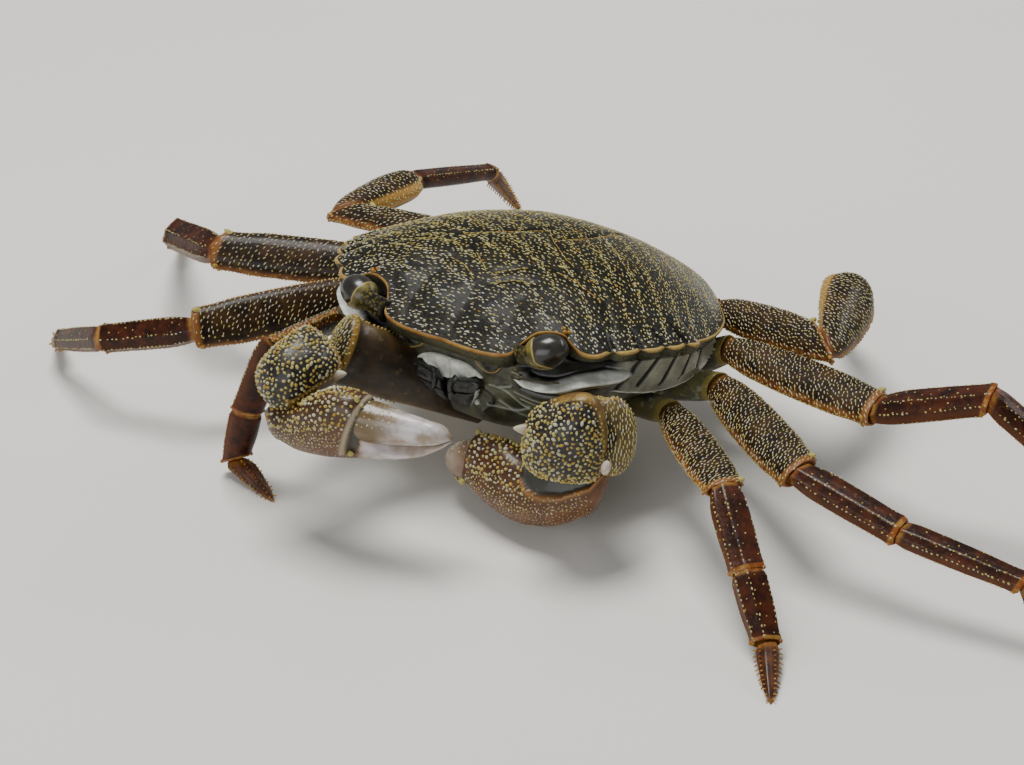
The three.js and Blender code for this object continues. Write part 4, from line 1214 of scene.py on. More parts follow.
def makeLeg(label, leg, hip, turns, roll, finishes):
    side = sides[label]
    joints = legJoints(side, leg, hip, turns)
    ways = [unit(b - a) for a, b in zip(joints[:-1], joints[1:])]
    normals = [ways[0], *[unit(a + b) for a, b in zip(ways[:-1], ways[1:])], np.array([0, 0, -1.0])]
    widths = legs[leg]["widths"]
    widths = (legs["hipOfThigh"] * widths[0], *widths)

    def flatEdges(share):
        return 1 + 0.07 * (nearTurn(share, 0, 0.045) + nearTurn(share, 0.5, 0.045))

    def ridged(share):
        return 0.97 + 0.1 * sum(nearTurn(mirrored(share, side), turn, 0.028) for turn in legs["shinRidges"])

    for i, name in enumerate(legs["slots"]):
        isToe = name == "dactylus"
        leafLike = leg == 5 and name == "carpus"
        kind = "merus" if leafLike else name
        turn = Matrix.Rotation(math.radians(roll) * side, 3, Vector(ways[i]))
        level = np.array(turn @ Vector(unit(np.cross(ways[i], [0, 0, 1])) * side))
        grid, t, share = limbGrid(
            *joints[i : i + 2], normals[i : i + 2], level, widths[i], legs["depthOfWidth"][i] * widths[i],
            legs["profiles"]["leaf" if leafLike else name],
            flatEdges if kind in ("ischium", "merus") else ridged, not isToe,
        )
        if isToe:
            grid[:, :, 2] = np.maximum(grid[:, :, 2] - legs["gap"] / 2, 0.0)
        share = mirrored(share, side)
        piece = Piece(f"leg{leg}{label.capitalize()}{name.capitalize()}")
        front, back = nearTurn(share, 0.02, 0.11), nearTurn(share, 0.5, 0.07)
        piece.tube(grid, along=np.clip(t, 0, 1), front=front, back=back, leaf=float(leafLike))
        if kind in dresses:
            rng = np.random.default_rng(100 * leg + 10 * i + (side > 0))
            dresses[kind](piece, Skin(grid), rng, ways[i], side)
        for points in piece.points:
            points[:, 2] = np.maximum(points[:, 2], 0.0)
        piece.make(finishes[kind], legs["slots"][name], f"leg{leg}_{label}_{name}")


# The thigh: pale scale-like dashes over its upper face, rounder grains on the face in front, toothed edges
# and a spine over the knee
def dressMerus(piece, skin, rng, way, side):
    def above(t, turn, facing):
        return between(t, 0.1, 0.16, 0.92, 0.95) * smoothstep(facing, 0.12, 0.4)

    def ahead(t, turn, facing):
        sideways = between(facing, -0.55, -0.2, 0.05, 0.3)
        return between(t, 0.12, 0.2, 0.9, 0.94) * sideways * nearTurn(mirrored(turn, side), 0.0, 0.3)

    row, column = skin.scatter(legs["dashSpacing"][side], rng, above)
    at, up, around = skin.frames(row, column, rng.normal(0.45 * side, 0.22, len(row)))
    lengths, widths, tints = legs["dashes"]
    tint, long, wide = (rng.uniform(*values, len(row)) for values in (tints, lengths, widths))
    grains(piece, at, up, around, long, wide, 0.08, tint)
    sow(piece, skin, rng, ahead, *legs["thighGrains"])
    for turn, tone in legs["thighEdges"]:
        at, up, around = skin.rowFrames(side, turn, rng, *legs["thighRow"])
        grains(piece, at, up, around, *legs["thighTooth"], tone + rng.normal(0, 0.12, len(at)))
    for turn, size, tone in legs["kneeKnobs"]:
        at, up, _ = skin.spot(8.5, mirrored(turn, side))
        grains(piece, at, up, way[None], size, size * 0.7, size * 0.42, tone, legs["knobRim"], size * 0.55)


# The shin: pale beads along its ridges and a few low grains between
def dressShin(piece, skin, rng, way, side):
    for turn in legs["shinRidges"]:
        frames = skin.rowFrames(side, turn, rng, *legs["shinRow"])
        kept = rng.random(len(frames[0])) > 0.12
        size = rng.uniform(*legs["beadSizes"], kept.sum())
        tint = rng.uniform(*legs["beadTints"], len(size))
        grains(piece, *(f[kept] for f in frames), size, size * 0.6, 0.1, tint)

    def top(t, turn, facing):
        return between(t, 0.15, 0.25, 0.85, 0.95) * smoothstep(facing, 0.1, 0.5)

    sow(piece, skin, rng, top, *legs["shinGrains"])
    for turn in legs["shinKnobs"]:
        at, up, _ = skin.spot(7.5, mirrored(turn, side))
        grains(piece, at, up, way[None], *legs["shinKnob"], legs["knobRim"])


# Stiff spines in rows along the toe, leaning towards its tip
def dressToe(piece, skin, rng, way, side):
    for turn in legs["toeRows"]:
        at, up, _ = skin.rowFrames(side, turn, rng, *legs["toeRow"])
        size = rng.uniform(*legs["spineSizes"], len(at))
        toTip = unit(way - up * (up @ way)[:, None])
        grains(piece, at, up, toTip, 0.3, 0.24, size, rng.random(len(at)), lean=size * 0.8, finish=2)


dresses = {"merus": dressMerus, "carpus": dressShin, "propodus": dressShin, "dactylus": dressToe}


# Places are in mm from the floor under the middle of the shell, but the root is in shell widths. Tables run
# from the wrist: s along the claw, then up or down across it.
claws = {
    "length": 24.6,  # wrist to finger tips
    "bow": 3.6,  # how far the tips bend back towards the mouth
    "left": {
        "root": (0.2, -0.24, -0.26), "elbow": (26.6, -25.4, 17.2), "wrist": (23.2, -25.9, 8.2),
        "carpus": (20.9, -28.6, 15.2),
        "heading": (-1, -0.04, -0.17), "up": (0, 0.3, 1), "dome": (0.4, -0.85, 0.4),
        "palmTop": [
            (-2.3, 3.1), (-1.2, 3.3), (0, 3.5), (5, 4.2), (10.5, 4.7), (11.5, 5.3), (13.4, 5.9),
            (16, 6.2), (17.6, 6.4), (18.3, 5.9), (19.0, 4.4), (19.7, 2.4), (20.2, 1.0), (21.5, 0.6),
            (23.4, 1.2),
        ],
        "palmBottom": [
            (-2.3, 2.4), (-1.6, 0.6), (-0.5, -1.5), (2.4, -3.4), (5.8, -4.5), (9.3, -4.7), (14.2, -3.6),
            (18, -1.6), (19.8, -0.5), (21.5, 0.0), (23.4, 0.9),
        ],
        "palmThick": [
            (-2.3, 1.2), (-1.4, 2.4), (0, 4), (3, 6.2), (9, 7.4), (14, 6.9), (18, 5.8), (19.6, 4.2),
            (21.5, 2.4), (23.4, 0.6),
        ],
        "fingerTop": [(17.0, 4.6), (18.9, 5.3), (21, 5.1), (22.8, 4.2), (23.7, 3.3), (24.1, 2.5)],
        "fingerBottom": [(17.0, 0.2), (19.9, 0.1), (22.6, 0.8), (23.5, 1.4), (24.1, 2.2)],
        "fingerThick": [(17, 5.0), (19, 5.4), (21.5, 4.6), (23.2, 3.0), (24.1, 0.8)],
        "hinge": ((1.2, 19.9), (6.2, 18.5)),  # height and s at its lower and upper end
        "knob": (19.4, 0.3),
        "spur": 17.9,  # where the upper edge ends in a spine
        "teethTo": 0.8,  # share of the palm that its row of teeth reaches
        "grainsUp": 0.0,  # how much higher the palm's grains start
        "grainy": 22.6,  # how far along the finger its grains go
        # The wrist block from in front of its dome: towards the palm, and across
        "block": [
            (-3.4, 5.6), (-6.2, 3.9), (-8.6, 1.4), (-9.3, -0.6), (-8.0, -2.6), (-4.3, -4.4), (-0.6, -5.2),
            (1.5, -5.2), (3.1, -3.2), (4.3, 0.4), (4.5, 2.5), (3.5, 4.3), (1.4, 5.2), (-1.0, 5.5),
        ],
        "blockMiddle": (-1.8, 0.2),
        "spine": (-0.9, 6.9),
        "flange": (-0.7, -0.7),  # the two ways its raised rim faces
        "upperFlange": (-0.8, -0.6),
        "rimFrom": 0.955,  # share of the way out over the dome
        "membrane": (0.97, -4.3, -1.9),  # soft skin, from the elbow
        "armGrains": (0.4, -1.2),  # share of the arm, and height round it, that its grains start from
    },
    "right": {
        "root": (-0.02, -0.25, -0.27), "elbow": (-13.4, -28.6, 21.6), "wrist": (-16.2, -38.8, 17.2),
        "carpus": (-14.4, -35.4, 21.6),
        "heading": (1, -0.03, 0), "up": (0, -0.3, 1), "dome": (0.15, -0.8, 0.5),
        "palmTop": [
            (-1.3, -0.8), (-0.6, 0.0), (1.5, 0.6), (3, 1.0), (5, 2.2), (7.5, 3.9), (9.6, 4.9),
            (11.2, 5.3), (12.8, 5.2), (14.0, 4.6), (14.7, 3.7), (15.5, -1.6), (16.5, -2.3),
            (18.1, -2.45), (21.4, -2.4), (23.4, -1.9), (24.9, -1.3),
        ],
        "palmBottom": [
            (-1.3, -1.4), (-0.9, -3.0), (1.8, -4.6), (5.4, -5.4), (9.2, -5.35), (11.8, -5.0),
            (15.2, -4.6), (18.1, -4.15), (21.7, -3.2), (24.1, -2.1), (24.9, -1.4),
        ],
        "palmThick": [
            (-1.3, 1.5), (0, 4.0), (3, 5.8), (8, 6.8), (12.5, 6.2), (14.8, 5.2), (15.6, 3.8), (18, 3.2),
            (22, 2.4), (24.2, 1.6), (24.9, 0.6),
        ],
        "fingerTop": [
            (12.8, 3.2), (14.2, 3.8), (16.2, 3.4), (18.8, 2.7), (21.8, 1.75), (24.1, 0.7), (24.8, 0.0),
            (25.1, -0.6),
        ],
        "fingerBottom": [
            (12.8, -1.3), (14.7, -1.6), (18.1, -1.75), (21.4, -1.7), (23.4, -1.4), (24.7, -1.0),
            (25.1, -0.9),
        ],
        "fingerThick": [(12.8, 4.4), (15, 5.0), (18, 4.1), (22, 3.0), (24.2, 2.1), (25.1, 0.6)],
        "hinge": ((-2.6, 12.0), (4.2, 14.9)),
        "knob": (12.6, -2.6),
        "spur": 13.8,
        "teethTo": 0.62,
        "grainsUp": 0.3,
        "grainy": 18.6,
        "block": [
            (-5.4, 3.0), (-1.6, 4.1), (2.8, 4.0), (4.9, 2.7), (6.0, 0.1), (5.8, -1.6), (4.4, -3.3),
            (0.6, -4.1), (-2.6, -4.8), (-4.6, -3.3), (-5.6, 0.2),
        ],
        "blockMiddle": (0.6, -0.2),
        "spine": (-3.2, -5.6),
        "flange": (-0.4, -0.92),
        "upperFlange": (-1, 0.35),
        "rimFrom": 0.925,
        "membrane": (-2.0, -4.3, -1.6),
        "armGrains": (0.88, -1.4),
    },
    # the palm's grains: spacing, the heights round it that they keep between, sizes, tints, and height of a
    # grain against its size
    "palmGrains": [
        (0.56, 0.1, 1.1, (0.34, 0.62), (0.0, 0.7), 0.42),
        (0.46, -0.4, 0.12, (0.2, 0.36), (0.0, 0.5), 0.42),
        (0.44, -0.93, -0.34, (0.12, 0.21), (0.0, 0.15), 0.3),
    ],
    # spacing, range of sizes, shape, range of tints, and corners round a grain
    "fingerGrains": (0.6, (0.2, 0.4), (1, 0.85, 0, 0.45), (0.0, 0.5), 7),
    # grains in rows: spacing, from and to which share of the piece, and how far they stray
    "armRow": (0.6, 0.45, 0.86, 0.5),
    "teethSpacing": 0.74,
    "teethFrom": 0.22,
    # of the left palm's hollow, s and height
    "rimLine": [(-2.3, 3.2), (-1.5, 2.2), (-0.7, 1.2), (2.9, -0.05), (5.8, -0.2), (7.8, 0.5), (9.0, 2.0)],
    "domeHeight": 4.3,  # of the wrist block in front of its middle, and behind it
    "domeBack": 3.4,
    "spineRadius": 1.05,
    # share of the way along the arm, then its width and depth
    "arm": [
        (0, 5.6, 4.6), (0.35, 6.8, 4.8), (0.75, 8.4, 5.6), (0.91, 8.7, 5.8), (0.955, 9.2, 6.3),
        (0.985, 8.6, 5.8), (1, 7.4, 4.8),
    ],
    "collar": 0.955,
}


def clawFrame(claw):
    along = unit(claw["heading"])
    top = squareTo(claw["up"], along)
    inward = squareTo((0, 1.0, 0), along)
    return along, top, squareTo(inward, top)


# How far the claw bends back towards the mouth at s.
def bow(s):
    return claws["bow"] * (np.maximum(s, 0) / claws["length"]) ** 2


# The palm or finger as rings along it, from tables of its top, bottom and thickness. Returns the grid, s and
# height of each point, and the angles round it.
def clawGrid(claw, part, rows):
    along, upward, inward = clawFrame(claw)
    wrist = np.array(claw["wrist"]) + floorShift
    thick = claw[part + "Thick"]
    s = np.linspace(thick[0][0], thick[-1][0], rows)
    high, low, deep = (readOff(table, s) for table in (claw[part + "Top"], claw[part + "Bottom"], thick))
    angles = fullTurn(84)[None]
    s = s[:, None]
    height = (high + low) / 2 + (high - low) / 2 * broad(np.sin(angles), 0.88)
    inner = bow(s) + deep / 2 * broad(np.cos(angles), 0.88)
    place = wrist + along * s[:, :, None] + upward * height[:, :, None] + inward * inner[:, :, None]
    return place, s * np.ones_like(height), height, angles


# How far past the hinge line of the finger a place on the palm is, in mm.
def pastHinge(claw, s, height):
    (low, lowAt), (high, highAt) = claw["hinge"]
    return s - (lowAt + (height - low) * (highAt - lowAt) / (high - low))


def makePalm(label, finishes):
    claw = claws[label]
    isLeft = label == "left"
    rng = np.random.default_rng(31 + isLeft)
    grid, s, height, angle = clawGrid(claw, "palm", 150)
    rows, columns = s.shape
    along, upward, inward = clawFrame(claw)
    past = pastHinge(claw, s, height)
    hingeLow, hingeStart = claw["hinge"][0]
    onHinge = smoothstep(height, hingeLow - 0.5, hingeLow + 0.1)
    # a smooth hollow under the left wrist, with a golden rim below it
    low = np.interp(s, *np.array(claws["rimLine"]).T)
    shown = smoothstep(-np.cos(angle), 0.1, 0.3) * (1 - smoothstep(s, 8.6, 9.1)) * isLeft
    hollow = smoothstep(height, low, low + 0.3) * shown
    rim = pulse(height - low, -0.1, 0.32) * shown
    # the palm narrows behind the hinge line, round a low band
    sunk = (0.55 * smoothstep(past, -0.1, 0.3) - 0.28 * pulse(past, -0.6, 0.4)) * onHinge
    sunk += 0.5 * hollow - 0.35 * rim
    grid = grid - inward * (sunk * broad(np.cos(angle), 0.5))[:, :, None]
    slit = np.maximum(between(past, -0.1, 0.1, 0.9, 1.4) * onHinge, hollow)
    band = between(past, -0.85, -0.6, -0.15, 0.0) * onHinge * (not isLeft)
    fixed = smoothstep(s, hingeStart + 0.5, hingeStart + 3.0) * (1 - onHinge * (past < 1.5))
    piece = Piece(f"claw{label.capitalize()}Palm")
    piece.tube(grid, level=np.sin(angle), band=band, slit=slit * (1 - rim), fixed=fixed, rim=rim)
    skin = Skin(grid)
    bare = np.maximum(slit, np.maximum(rim, fixed))

    for spacing, lowest, highest, sizes, tints, higher in claws["palmGrains"]:
        lowest, highest = lowest + claw["grainsUp"], min(highest + claw["grainsUp"], 1.1)

        def keep(t, turn, facing):
            angle = turn * 2 * math.pi
            at = (t * (rows - 1)).astype(int), (turn * columns).astype(int) % columns
            clear = (past[at] < -1.2) | (onHinge[at] < 0.2)
            level = between(np.sin(angle), lowest - 0.12, lowest, highest, highest + 0.12)
            outer = 1 - 0.6 * smoothstep(np.cos(angle), 0.3, 0.8)
            fromWrist = smoothstep(mix(s[0, 0], s[-1, 0], t), -0.6, 0.2)
            return clear * level * outer * (1 - bare[at]) * fromWrist

        spacing += (highest < 0.1) * claw["grainsUp"] * 0.4  # the lowest ones lie further apart on the right
        sow(piece, skin, rng, keep, spacing, sizes, (1.15, 0.85, 0, higher), tints, 7)
    # teeth along the upper edge, the last of them a spine
    row = (claws["teethSpacing"], claws["teethFrom"], claw["teethTo"], 0.6)
    at, up, around = skin.rowFrames(1, 0.25, rng, *row)
    size = rng.uniform(0.4, 0.62, len(at))
    grains(piece, at, up, around, size, size, size * 0.62, rng.uniform(0.3, 0.7, len(at)), rim=8)
    tip = grid[np.argmin(np.abs(s[:, 0] - claw["spur"])), columns // 4][None]
    grains(piece, tip, unit(upward + 0.3 * along)[None], along[None], 0.9, 0.8, 0.8, 0.4, rim=10)
    at, high = claw["knob"]
    ball = np.array(claw["wrist"]) + floorShift + along * at + upward * high + inward * (bow(at) - 2.6)
    grains(piece, ball[None], -inward[None], along[None], 0.9, 0.8, 0.4, 0.45, rim=12)
    piece.make(finishes["palm"], "palm", f"claw_{label}_palm")


def makeFinger(label, finishes):
    claw = claws[label]
    rng = np.random.default_rng(41 + (label == "left"))
    grid, s = clawGrid(claw, "finger", 90)[:2]
    piece = Piece(f"claw{label.capitalize()}Finger")
    piece.tube(grid, tip=s / claws["length"])

    def keep(t, turn, facing):
        last = claw["grainy"]
        ends = 1 - smoothstep(mix(s[0, 0], s[-1, 0], t), last - 1.2, last)
        return smoothstep(np.sin(turn * 2 * math.pi), 0.1, 0.7) * ends

    sow(piece, Skin(grid), rng, keep, *claws["fingerGrains"])
    piece.make(finishes["finger"], "finger", f"claw_{label}_finger")


# The wrist block: a domed shield with a raised rim, a spine at its inner corner and a rounded back.
def makeWrist(label, finishes):
    claw = claws[label]
    rng = np.random.default_rng(51 + (label == "left"))
    carpus = np.array(claw["carpus"]) + floorShift
    way = unit(np.array(claw["wrist"]) - claw["elbow"])
    through = squareTo(claw["dome"], way)
    across = np.cross(way, through)
    # the outline of the block, as its reach at each angle from its middle
    block, steps = claw["block"], 10
    curve = throughFlat(block[-2:] + block + block[:2], steps)[2 * steps : -2 * steps] - claw["blockMiddle"]
    turns = np.arctan2(curve[:, 1], curve[:, 0])
    order = np.argsort(turns)
    angles = fullTurn(132) - math.pi
    reach = np.interp(angles, turns[order], np.hypot(*curve[order].T), period=2 * math.pi)
    outward = np.column_stack([np.cos(angles), np.sin(angles)])
    flange = smoothstep(outward @ unit(claw["flange"]), 0.02, 0.3)
    flange = np.maximum(flange, smoothstep(outward @ unit(claw["upperFlange"]), 0.45, 0.7))
    place = lambda pair: pair[0] * way + pair[1] * across
    middle = carpus + place(claw["blockMiddle"])
    grid, share, rim = [], [], []

    def ring(scale, height, along, raised):
        flat = outward * (reach * scale)[:, None]
        lift = np.outer(height * np.ones(len(angles)), through)
        grid.append(middle + place((flat[:, :1], flat[:, 1:])) + lift)
        share.append(along)
        rim.append(raised * flange)

    for u in np.linspace(0.02, 1, 64):
        bead = 0.25 * (pulse(u, 0.965, 0.025) - pulse(u, 0.91, 0.025)) * flange
        height = claws["domeHeight"] * (1 - u**2.6) ** 0.75 + bead
        ring(u, height, u, smoothstep(u, claw["rimFrom"] - 0.015, claw["rimFrom"] + 0.01))
    for lean in np.linspace(0.12, 0.98, 26) * math.pi / 2:
        raised = 0.6 * smoothstep(-lean, -0.4, -0.1)
        ring(math.cos(lean) ** 0.8, -claws["domeBack"] * math.sin(lean), 1 + lean, raised)
    grid, share, rim = np.array(grid), np.array(share)[:, None], np.array(rim)
    piece = Piece(f"claw{label.capitalize()}Wrist")
    facing = smoothstep(outward @ unit([-0.2, -1]), 0.4, 0.7)
    pale = 0.7 * pulse(share, 1.3, 0.2) * facing * (label == "left")
    piece.tube(grid, dome=1 - smoothstep(share, 0.98, 1.25), rim=rim, spine=pale)
    skin = Skin(grid)

    def keep(t, turn, facing):
        row = (t * (len(grid) - 1)).astype(int)
        column = (turn * len(angles)).astype(int) % len(angles)
        return share[row, 0] < mix(1.05, claw["rimFrom"] - 0.02, flange[column])

    at, up, around = scatterFrames(skin, rng, 0.5, keep)
    size = rng.uniform(0.3, 0.64, len(at))
    long = size * rng.uniform(1.0, 1.5, len(at))
    grains(piece, at, up, around, long, size * 0.85, size * 0.4, rng.uniform(0.05, 0.7, len(at)), rim=7)
    # small teeth on the flange
    teeth = np.where(flange > 0.5)[0][::3].astype(float)
    at, up, around = skin.frames(np.full(len(teeth), 61.0), teeth)
    grains(piece, at, up, around, 0.34, 0.26, 0.16, rng.uniform(0.4, 0.65, len(teeth)))
    base = middle + place((np.array(claw["spine"]) - claw["blockMiddle"]) * 0.62)
    tip = carpus + place(claw["spine"]) + through * 0.9
    t = np.linspace(0, 1, 30)
    path = base + np.outer(t, tip - base)
    thin = claws["spineRadius"] * (1 - t) ** 0.75 + 0.1
    piece.tube(tubeAlong(path, thin, 28), dome=0.6, rim=0.4, spine=t[:, None])
    piece.make(finishes["wrist"], "wrist", f"claw_{label}_carpus")


def makeArm(label, finishes):
    claw = claws[label]
    side = sides[label]
    rng = np.random.default_rng(61 + (side > 0))
    root = bodyPlace(np.array(claw["root"]) * [side, 1, 1])
    elbow = np.array(claw["elbow"]) + floorShift
    way = unit(elbow - root)
    across = unit(np.cross(claw["dome"], way))
    through = np.cross(way, across)
    columns, caps = 80, 8
    angles = fullTurn(columns)
    t = np.linspace(0, 1, 100)
    a = broad(np.cos(angles), 0.9) * (1 + 0.05 * pulse(np.abs(np.cos(angles)), 1, 0.15))
    b = broad(np.sin(angles), 0.9)
    grid = [
        mix(root, elbow, u) + np.outer(a * wide / 2, across) + np.outer(b * deep / 2, through)
        for u, (wide, deep) in zip(t, readOff(claws["arm"], t))
    ]
    for lean in np.linspace(0.2, 0.95, caps) * math.pi / 2:
        grid.append(elbow + (grid[len(t) - 1] - elbow) * math.cos(lean) + way * math.sin(lean) * 0.5)
    grid = np.array(grid)
    share = np.append(t, np.full(caps, 1.05))[:, None]
    piece = Piece(f"claw{label.capitalize()}Arm")
    piece.tube(grid, facing=np.sin(angles), collar=pulse(share, claws["collar"], 0.025), pale=0.0)
    skin = Skin(grid)

    def keep(u, turn, facing):
        start, low = claw["armGrains"]
        level = smoothstep(np.sin(turn * 2 * math.pi), low, low + 0.3)
        return level * smoothstep(u, start, start + 0.08) * (u < 0.995)

    row, column = skin.scatter(0.4, rng, keep)
    at, up, around = skin.frames(row, column, alongLimb + rng.normal(0, 0.12, len(row)))
    flat = unit(across - up * (up @ across)[:, None])
    around = np.where((row > 97)[:, None], flat, around)  # past the collar they lie across
    long = rng.uniform(0.4, 0.85, len(row))
    grains(piece, at, up, around, long, 0.2, 0.14, rng.uniform(0.05, 0.5, len(row)))
    # the toothed collar over the elbow
    teeth = np.arange(0, columns, 3.4)
    teeth = teeth[np.sin(teeth / columns * 2 * math.pi) > -0.35]
    at, up, around = skin.frames(np.full(len(teeth), 94.5), teeth)
    grains(piece, at, up, around, 0.38, 0.38, 0.24, rng.uniform(0.3, 0.7, len(teeth)), rim=8)
    for turn in (0.0, 0.5):
        at, up, around = skin.rowFrames(1, turn, rng, *claws["armRow"])
        grains(piece, at, up, around, 0.45, 0.35, 0.24, rng.uniform(0.4, 0.8, len(at)))
    # the soft skin that shows between arm and wrist
    lean = np.linspace(0.06, 0.94, 20) * math.pi
    path = elbow + claw["membrane"] + np.outer(np.cos(lean), np.array([0.1, 0.3, 0.9]))
    piece.tube(tubeAlong(path, np.sin(lean) * 0.6, 24), pale=1.0, facing=1.0)
    piece.make(finishes["arm"], "arm", f"claw_{label}_merus")


# Tints of the raised grains, from the palest to the reddest
grainColours = ("b5b2a0", "aaa26e", "a29448", "a0782e", "8c3e1a")
# Colours of the finger's root and end, and the shares of the claw's length where one turns into the other.
# The stubby left finger is pinkish grey, the longer right one white with a brown root.
fingerLooks = {
    "fingerLeft": ("6b4e36", "a28d7a", (0.72, 0.9)),
    "fingerRight": ("5f4a26", "c2bcbd", (0.64, 0.8)),
}


def paintSpeckle(f):
    stops = list(zip(np.linspace(0, 1, len(grainColours)), map(rgb, grainColours)))
    tint = f.tag("tint") + (f.noise(1.1, 2) - 0.5) * 0.25
    f.colour = f.node("ShaderNodeValToRGB", {"stops": stops}, {"Fac": tint})
    f.surface(0.38 + f.noise(2.5, 2) * 0.1, shine=0.3)


def paintBristle(f):
    f.colour = f.blend(f.tag("tint"), "8e5420", "b8933c")
    f.surface(0.4 + f.noise(2.5, 2) * 0.1, shine=0.3)


def paintShell(f):
    f.colour = f.patches(0.22, 4, 0.35, 0.7, "090702", "1c1708")
    f.layer(f.noise(0.9).step(0.45, 0.75) * 0.5, "2c2811")
    # the bare front swellings: partly their own blue-grey, partly a painted sheen of sky reflected from them
    slateAndSheen = f.patches(0.8, 4, 0.35, 0.65, "1b1e24", "3a4049")
    f.layer(f.tag("bloom") * f.noise(0.5).step(0.35, 0.7) * 0.45, slateAndSheen)
    f.layer(f.tag("lobed") * f.noise(0.3, 2).step(0.4, 0.7) * 0.5, "1b2027")
    # painted shade: near-black in the furrows and notches
    f.layer(f.tag("groove") * 0.7, "070604")
    f.layer(f.tag("scar") * 0.7, "6d6330")
    f.layer(f.tag("turned"), f.patches(0.22, 4, 0.3, 0.7, "38372a", "615f4a"))
    rim = f.patches(0.35, 3, 0.35, 0.7, "7d5426", "a07f40")
    f.layer(f.tag("gold"), f.blend(f.tag("lobed") * 0.8, rim, "ae9556"))
    fine = f.noise(2.6, 5, 0.65) + f.tag("bloom") * f.noise(0.9, 4) * 2.5
    f.surface(0.2 + f.noise(1.4) * 0.2, fine, 0.12, 0.14, (0.04, 0.12))


def paintFace(f):
    f.colour = f.patches(0.35, 4, 0.35, 0.7, "22231a", "55553f")
    flank = f.patches(0.3, 4, 0.35, 0.7, "77766a", "a5a38c")
    f.layer(f.tag("side"), f.blend(f.tag("stripe").step(0.45, 0.9) * 0.4, flank, "a3a28c"))
    f.layer(f.tag("below"), "4a4a36")
    # the pale breastplate, with painted shadow where it fades out at the front
    f.layer(f.tag("belly"), f.patches(0.4, 3, 0.3, 0.7, "8f8058", "a99b72"))
    # the dark marks: bands, slit and bulbs, and painted shade in the eye hollows
    f.layer(f.tag("dark").step(0.1, 0.8), "12110c")
    f.layer(f.tag("gold").step(0.3, 0.8), "8d7440")
    f.layer(f.tag("faint").step(0.2, 0.9) * 0.45, "a9aca0")
    f.layer(f.tag("pale").step(0.2, 0.6), f.patches(0.7, 3, 0.35, 0.7, "c6c8ba", "f2f2e8"))
    f.surface(0.28 + f.noise(1.3) * 0.15, f.noise(2.4, 4), 0.05, 0.35, (0.25, 0.1))


def paintBelly(f):
    f.colour = f.patches(0.5, 3, 0.3, 0.7, "8d7f58", "b3a47c")
    f.layer(f.tag("crease") * 0.7, "4d4228")
    f.surface(0.4 + f.noise(1.3) * 0.1, f.noise(1.8, 4), 0.06, 0.4)


def paintMouth(f):
    f.colour = f.patches(0.6, 4, 0.35, 0.7, "0e0e0d", "2b2b28")
    f.layer(f.noise(1.6).step(0.6, 0.72) * 0.5, "66685f")
    f.layer(f.tag("joint") * 0.8, "050504")
    f.layer(f.tag("edge").step(0.35, 0.8), "b3b6ab")
    f.surface(0.22 + f.noise(1.4) * 0.2, f.noise(1.6, 4), 0.1, 0.4, (0.25, 0.1))


def paintEye(f):
    facets = f.spots(9.0)
    pupil = f.patches(0.8, 3, 0.3, 0.7, "15130f", "2e2a22")
    f.colour = f.blend(f.tag("outer").step(0.3, 0.42), "3a3216", pupil)
    f.surface(0.26 + facets * 0.1, facets, 0.004, 0.4, (0.35, 0.12))


def paintStalk(f):
    green = f.patches(0.7, 3, 0.35, 0.65, "474016", "75692a")
    ground = f.patches(0.6, 2, 0.4, 0.6, "12110b", "2e2b12")
    f.colour = f.blend(f.spots(2.3).step(0.36, 0.5), green, ground)
    along = f.tag("along")
    f.layer(along.step(0.35, 0.6), green)
    f.layer(along.step(0.9, 0.98), "94804a")
    # painted shade: the stalk darkens at its root, deep in the orbit
    f.colour = f.blend(along.step(-1.0, -0.85), "191709", f.colour)
    f.surface(0.3 + f.noise(1.5) * 0.15, f.noise(2.0), 0.03, 0.4, (0.25, 0.1))


def paintFeeler(f):
    f.colour = f.patches(1.5, 3, 0.3, 0.7, "1d1a10", "4c4426")
    f.surface(0.35 + f.noise(2.0, 2) * 0.1, shine=0.4)


def paintHip(f):
    f.colour = f.patches(0.35, 3, 0.4, 0.6, "4a4b40", "66613c")
    f.layer(f.noise(0.9).step(0.5, 0.7) * 0.6, "a7a78c")
    f.layer(f.tag("along").step(0.86, 0.95) * 0.8, "8c7a34")
    f.surface(0.3 + f.noise(1.4) * 0.15, f.noise(1.8, 4), 0.06, 0.35, (0.2, 0.1))


def paintThigh(f):
    f.colour = f.patches(0.35, 4, 0.35, 0.7, "1a110a", "3a2614")
    along, back = f.tag("along"), f.tag("back")
    f.layer(f.noise(0.9).step(0.55, 0.75) * 0.45, "4a3a1c")
    border = f.patches(0.7, 3, 0.35, 0.65, "63361c", "875a2c")
    f.layer((f.tag("front") | (back * 0.55)).step(0.25, 0.8), border)
    ends = along.step(0.95, 0.975) | (1 - along.step(0.0, 0.06)) * 0.6
    f.layer(ends * 0.8, "85552a")
    f.layer(f.tag("leaf") * back.step(0.05, 0.5), "9c7434")
    f.surface(0.32 + f.noise(1.4) * 0.18, f.noise(2.2, 4), 0.08, 0.14, (0.1, 0.12))


def paintShin(f):
    f.colour = f.patches(0.5, 4, 0.35, 0.68, "22100a", "45200f")
    along = f.tag("along")
    f.layer(f.noise(1.6).step(0.6, 0.75) * 0.4, "6b3f22")
    f.layer(f.tag("front") * 0.6, "64381c")
    ends = along.step(0.945, 0.97) | (1 - along.step(0.0, 0.05)) * 0.7
    f.layer(ends * 0.8, f.patches(0.9, 2, 0.4, 0.6, "85481f", "a17838"))
    f.surface(0.28 + f.noise(1.4) * 0.16, f.noise(1.6, 4), 0.08, 0.12, (0.14, 0.1))


def paintToe(f):
    f.colour = f.patches(0.5, 4, 0.3, 0.7, "351a0c", "5c3216")
    along = f.tag("along")
    f.layer(along.step(0.75, 0.98), "7a5628")
    f.layer((1 - along.step(0.0, 0.12)) * 0.7, "855828")
    f.surface(0.32 + f.noise(1.4) * 0.15, f.noise(1.8), 0.07, 0.25, (0.15, 0.14))


